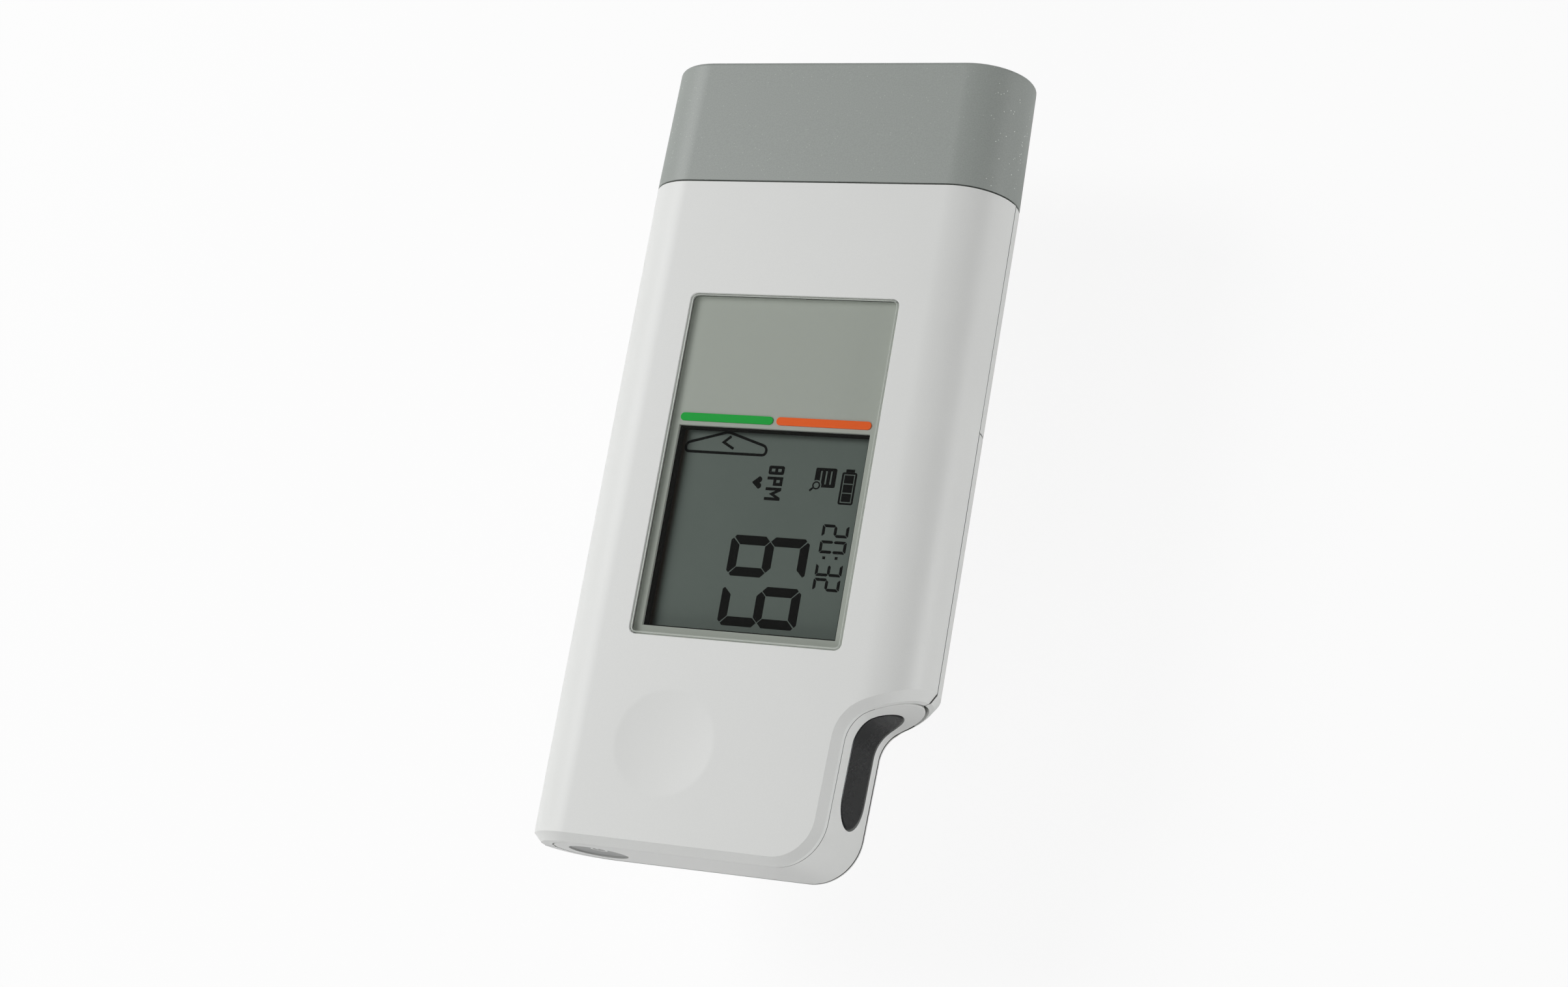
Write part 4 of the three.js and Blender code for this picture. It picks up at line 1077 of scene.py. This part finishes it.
def circuitBoard():  # solder mask over copper runs
    finish = Finish("circuitBoard", Specular_IOR_Level=0.5)
    black, white = (0, 0, 0, 1), (1, 1, 1, 1)
    runs = finish.node("ShaderNodeTexBrick", {"offset": 0.37}, Vector=finish.place(), Scale=1 / (1.6 * mm),
                       Mortar_Size=0.12, Mortar_Smooth=0.2, Color1=black, Color2=black, Mortar=white)
    via = finish.cells(2.4).part("Distance") < 0.13
    fine = finish.noise(0.3, 2.0)
    green = finish.mix(fine, colour(18, 84, 52), colour(24, 98, 62))
    green = finish.mix(runs, green, colour(40, 128, 82))
    finish.set(Base_Color=finish.mix(via, green, colour(196, 172, 96)), Roughness=0.34 + 0.1 * fine)
    return finish.bump(runs + via, 0.02)


def stripedRubber():  # the display's connector: thin dark and pale layers
    finish = Finish("stripedRubber")
    wave = finish.stripes(0.16)
    finish.set(Base_Color=finish.mix(wave.between(0.45, 0.55), colour(206, 150, 140), colour(42, 40, 42)))
    return finish.set(Roughness=0.6 + 0.1 * finish.noise(0.2)).bump(wave, 0.01)


def flexFilm():  # amber film over copper lines
    finish = Finish("flexFilm", Specular_IOR_Level=0.5)
    wave = finish.stripes(0.25)
    fine = finish.noise(0.4, 2.0)
    finish.set(Base_Color=finish.mix(wave.between(0.5, 0.62), colour(170, 104, 40), colour(206, 140, 72)))
    return finish.set(Roughness=0.3 + 0.12 * fine).bump(wave, 0.01)


def cellWrap():  # printed sleeve with bare metal at both ends
    finish = Finish("cellWrap", Specular_IOR_Level=0.5)
    where = finish.node("ShaderNodeSeparateXYZ", None, finish.place())
    bare = finish.node("ShaderNodeMath", {"operation": "ABSOLUTE"}, where) > cell["bareFrom"] * mm
    fine = finish.noise(0.3, 2.0)
    sleeve = finish.mix(fine, colour(58, 84, 104), colour(66, 94, 116))
    finish.set(Base_Color=finish.mix(bare, sleeve, colour(196, 196, 194)), Metallic=bare)
    return finish.set(Roughness=0.3 + 0.1 * fine).bump(fine, 0.003)


def dress(piece, finish):
    piece.data.materials.clear()
    piece.data.materials.append(finish.material)


def dressPart(piece, finish, test):  # a second finish on the faces that pass the test
    piece.data.materials.append(finish.material)
    for face in piece.data.polygons:
        if test(face.center / mm, face.normal):
            face.material_index = 1


def inShadedSeam(centre, normal):  # painted shade: the faces down in the joints of the case get a darker finish for the shadow in them
    upright = abs(normal.z)
    beside = min(abs(centre.z - bandLowZ), abs(centre.z - bandHighZ)) < band["pocketGap"] + 2 * near
    parting = abs(centre.z - body["partingZ"]) < body["seamGap"] + body["groove"]
    return upright > 0.9 and beside or upright > 0.5 and parting


def onLensHighlight(centre, normal):  # painted highlight: a pale, half-clear finish on the rounded edge of the clear plate, where it catches light
    return -0.5 < normal.z < 0.98


finishes = makeFinishes()
# second finishes on some faces: painted shade in the joints of the case, painted highlight on the lens edge
partly = dict(white=(finishes["seam"], inShadedSeam), band=(finishes["seam"], inShadedSeam),
              lens=(finishes["lensEdge"], onLensHighlight))
print("finishes ready")

# name of the piece: what makes it, body, slot, finish, the frame nodes that it stands for
pieces = {
    "case_front": (makeCaseFront, "housing", "white_plastic", "white", ["front_shell"]),
    "case_rear": (makeCaseRear, "housing", "white_plastic", "white", ["rear_shell"]),
    "battery_cover": (makeDoor, "battery_door", "white_plastic", "white", ["battery_door"]),
    "side_inlay": (makeBand, "housing", "white_plastic", "band", ["side_band"]),
    "finger_pad": (makeElectrode, "housing", "finger_pad", "pad", ["finger_electrode"]),
    "button_key": (makeButton, "power_button", "button_plastic", "key", ["power_button"]),
    "power_sign": (makePowerSign, "power_button", "button_plastic", "sign", []),
    "cap_cup": (makeCap, "end_cap", "grey_plastic", "cap", ["end_cap"]),
    "nose": (makeNose, "housing", "inner_plastic", "inner", ["electrode_nose"]),
    "chest_plate": (makeChestPlate, "housing", "steel", "plate", ["chest_electrode"]),
    "clear_lens": (makeLens, "housing", "clear_window", "lens", ["display_window"]),
    "mask_plate": (makeMask, "housing", "mask_print", "mask", ["display_mask"]),
    "display_gasket": (makeGasket, "housing", "elastomer", "foam", []),
    "lcd_digits": (makeDigits, "housing", "black_plastic", "ink", []),
    "lcd_icons": (makeIcons, "housing", "black_plastic", "ink", []),
    "lcd_units": (makePulseUnit, "housing", "black_plastic", "ink", []),
    "lcd_marker": (makeMarker, "housing", "black_plastic", "ink", []),
}
for side, tone in (("left", "green"), ("right", "orange")):
    node = f"zone_bar_{tone}"
    pieces[f"zone_bar_{side}"] = (partial(makeZoneBar, node), "housing", f"{tone}_print", tone, [node])
for k in range(1, 4):
    pieces[f"cell_{k}"] = (partial(makeCell, k), "housing", "cell_wrap", "wrap", [f"battery_cell_{k}"])

for name, (make, bodyName, slot, finish, standsFor) in pieces.items():
    piece = make()
    piece.name = piece.data.name = name
    dress(piece, finishes[finish])
    if finish in partly:
        dressPart(piece, *partly[finish])
    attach(piece, bodyName)
    if standsFor:
        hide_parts(*standsFor)
    print("made", name)

kept = dict(inner=["battery_tray"], black=["tact_switch_body", "lcd_frame", "buzzer"], panel=["lcd_glass"],
            film=["lcd_reflector", "radio_module"], rubber=["lcd_connector_upper", "lcd_connector_lower"],
            board=["main_board"], chip=["processor_chip", "amplifier_chip"], flex=["electrode_flex"],
            plate=["chest_contact", "finger_contact", "tact_switch_plunger", "clock_crystal",
                   "battery_terminal_positive", "battery_terminal_negative", "battery_bridge_left",
                   "battery_bridge_right"],
            spring=["battery_spring_1", "battery_spring_2", "battery_spring_3"],
            steel=[f"shell_screw_{k}" for k in range(1, 5)])
for finish, names in kept.items():
    for name in names:
        for slot in nodes[name].material_slots:
            slot.material = finishes[finish].material
print("frame nodes dressed")


# the floor lies far enough under the device that the lifted battery cover stays above it
studio = dict(floorSize=3.0, floorGap=21.0, floorTone=0.86, white=0.9, sky=0.16)
# place in metres, width in metres, power in watts
lamps = dict(keyLamp=((-0.85, 0.3, 0.85), 0.6, 10.8), frontLamp=((-0.2, -0.8, 0.5), 0.5, 2.6),
             rightLamp=((0.9, 0.05, 0.05), 0.3, 4.5))


def makeFloor():  # nearly white to the camera, and it keeps the device's soft shadow
    clearSelection()
    bpy.ops.mesh.primitive_plane_add(size=studio["floorSize"], location=(0, 0, -studio["floorGap"] * mm))
    floor = settle(bpy.context.object, "studio_floor")
    finish = Finish("paleFloor", Base_Color=(*[studio["floorTone"]] * 3, 1), Roughness=0.9, Specular_IOR_Level=0.1)
    emission = finish.node("ShaderNodeEmission", None, (1, 1, 1, 1), 1.0)
    seen = finish.node("ShaderNodeLightPath")
    blend = finish.tree.nodes.new("ShaderNodeMixShader")
    finish.fill(blend.inputs[0], seen.part("Is Camera Ray") * studio["white"])
    finish.tree.links.new(finish.shader.outputs[0], blend.inputs[1])
    finish.tree.links.new(emission.socket, blend.inputs[2])
    finish.tree.links.new(blend.outputs[0], finish.tree.nodes["Material Output"].inputs["Surface"])
    floor.data.materials.append(finish.material)


def makeSky():  # white where it is seen directly or mirrored, weaker as a light
    world = bpy.data.worlds.new("studioSky")
    bpy.context.scene.world = world
    world.use_nodes = True
    tree = world.node_tree
    background = tree.nodes["Background"]
    path = tree.nodes.new("ShaderNodeLightPath")
    direct = path.outputs["Is Camera Ray"]
    for name in ("Is Glossy Ray", "Is Transmission Ray"):
        larger = tree.nodes.new("ShaderNodeMath")
        larger.operation = "MAXIMUM"
        tree.links.new(direct, larger.inputs[0])
        tree.links.new(path.outputs[name], larger.inputs[1])
        direct = larger.outputs[0]
    strength = tree.nodes.new("ShaderNodeMapRange")
    tree.links.new(direct, strength.inputs["Value"])
    strength.inputs["To Min"].default_value = studio["sky"]
    strength.inputs["To Max"].default_value = 1.0
    tree.links.new(strength.outputs[0], background.inputs["Strength"])
    background.inputs["Color"].default_value = (1, 1, 1, 1)


def makeLamp(name, place, size, power):  # aimed at the middle of the device
    clearSelection()
    bpy.ops.object.light_add(type="AREA", location=place)
    lamp = bpy.context.object
    lamp.name = name
    lamp.data.shape, lamp.data.size, lamp.data.energy = "DISK", size, power
    lamp.rotation_euler = (-Vector(place)).to_track_quat("-Z", "Y").to_euler()


# place and clip in metres, turn in degrees, lens and sensor in millimetres
view = dict(place=(0.18163, -0.10979, 0.39472), turn=(18.09, 22.43, 10.56), lens=67.70, sensor=36, clip=0.01)


def makeCamera():
    clearSelection()
    bpy.ops.object.camera_add(location=view["place"], rotation=[math.radians(a) for a in view["turn"]])
    camera = bpy.context.object
    camera.data.lens, camera.data.sensor_width = view["lens"], view["sensor"]
    camera.data.clip_start = view["clip"]
    bpy.context.scene.camera = camera


makeFloor()
makeSky()
for name, (place, size, power) in lamps.items():
    makeLamp(name, place, size, power)
makeCamera()
bpy.context.scene.view_settings.view_transform = "Standard"
print("studio ready")
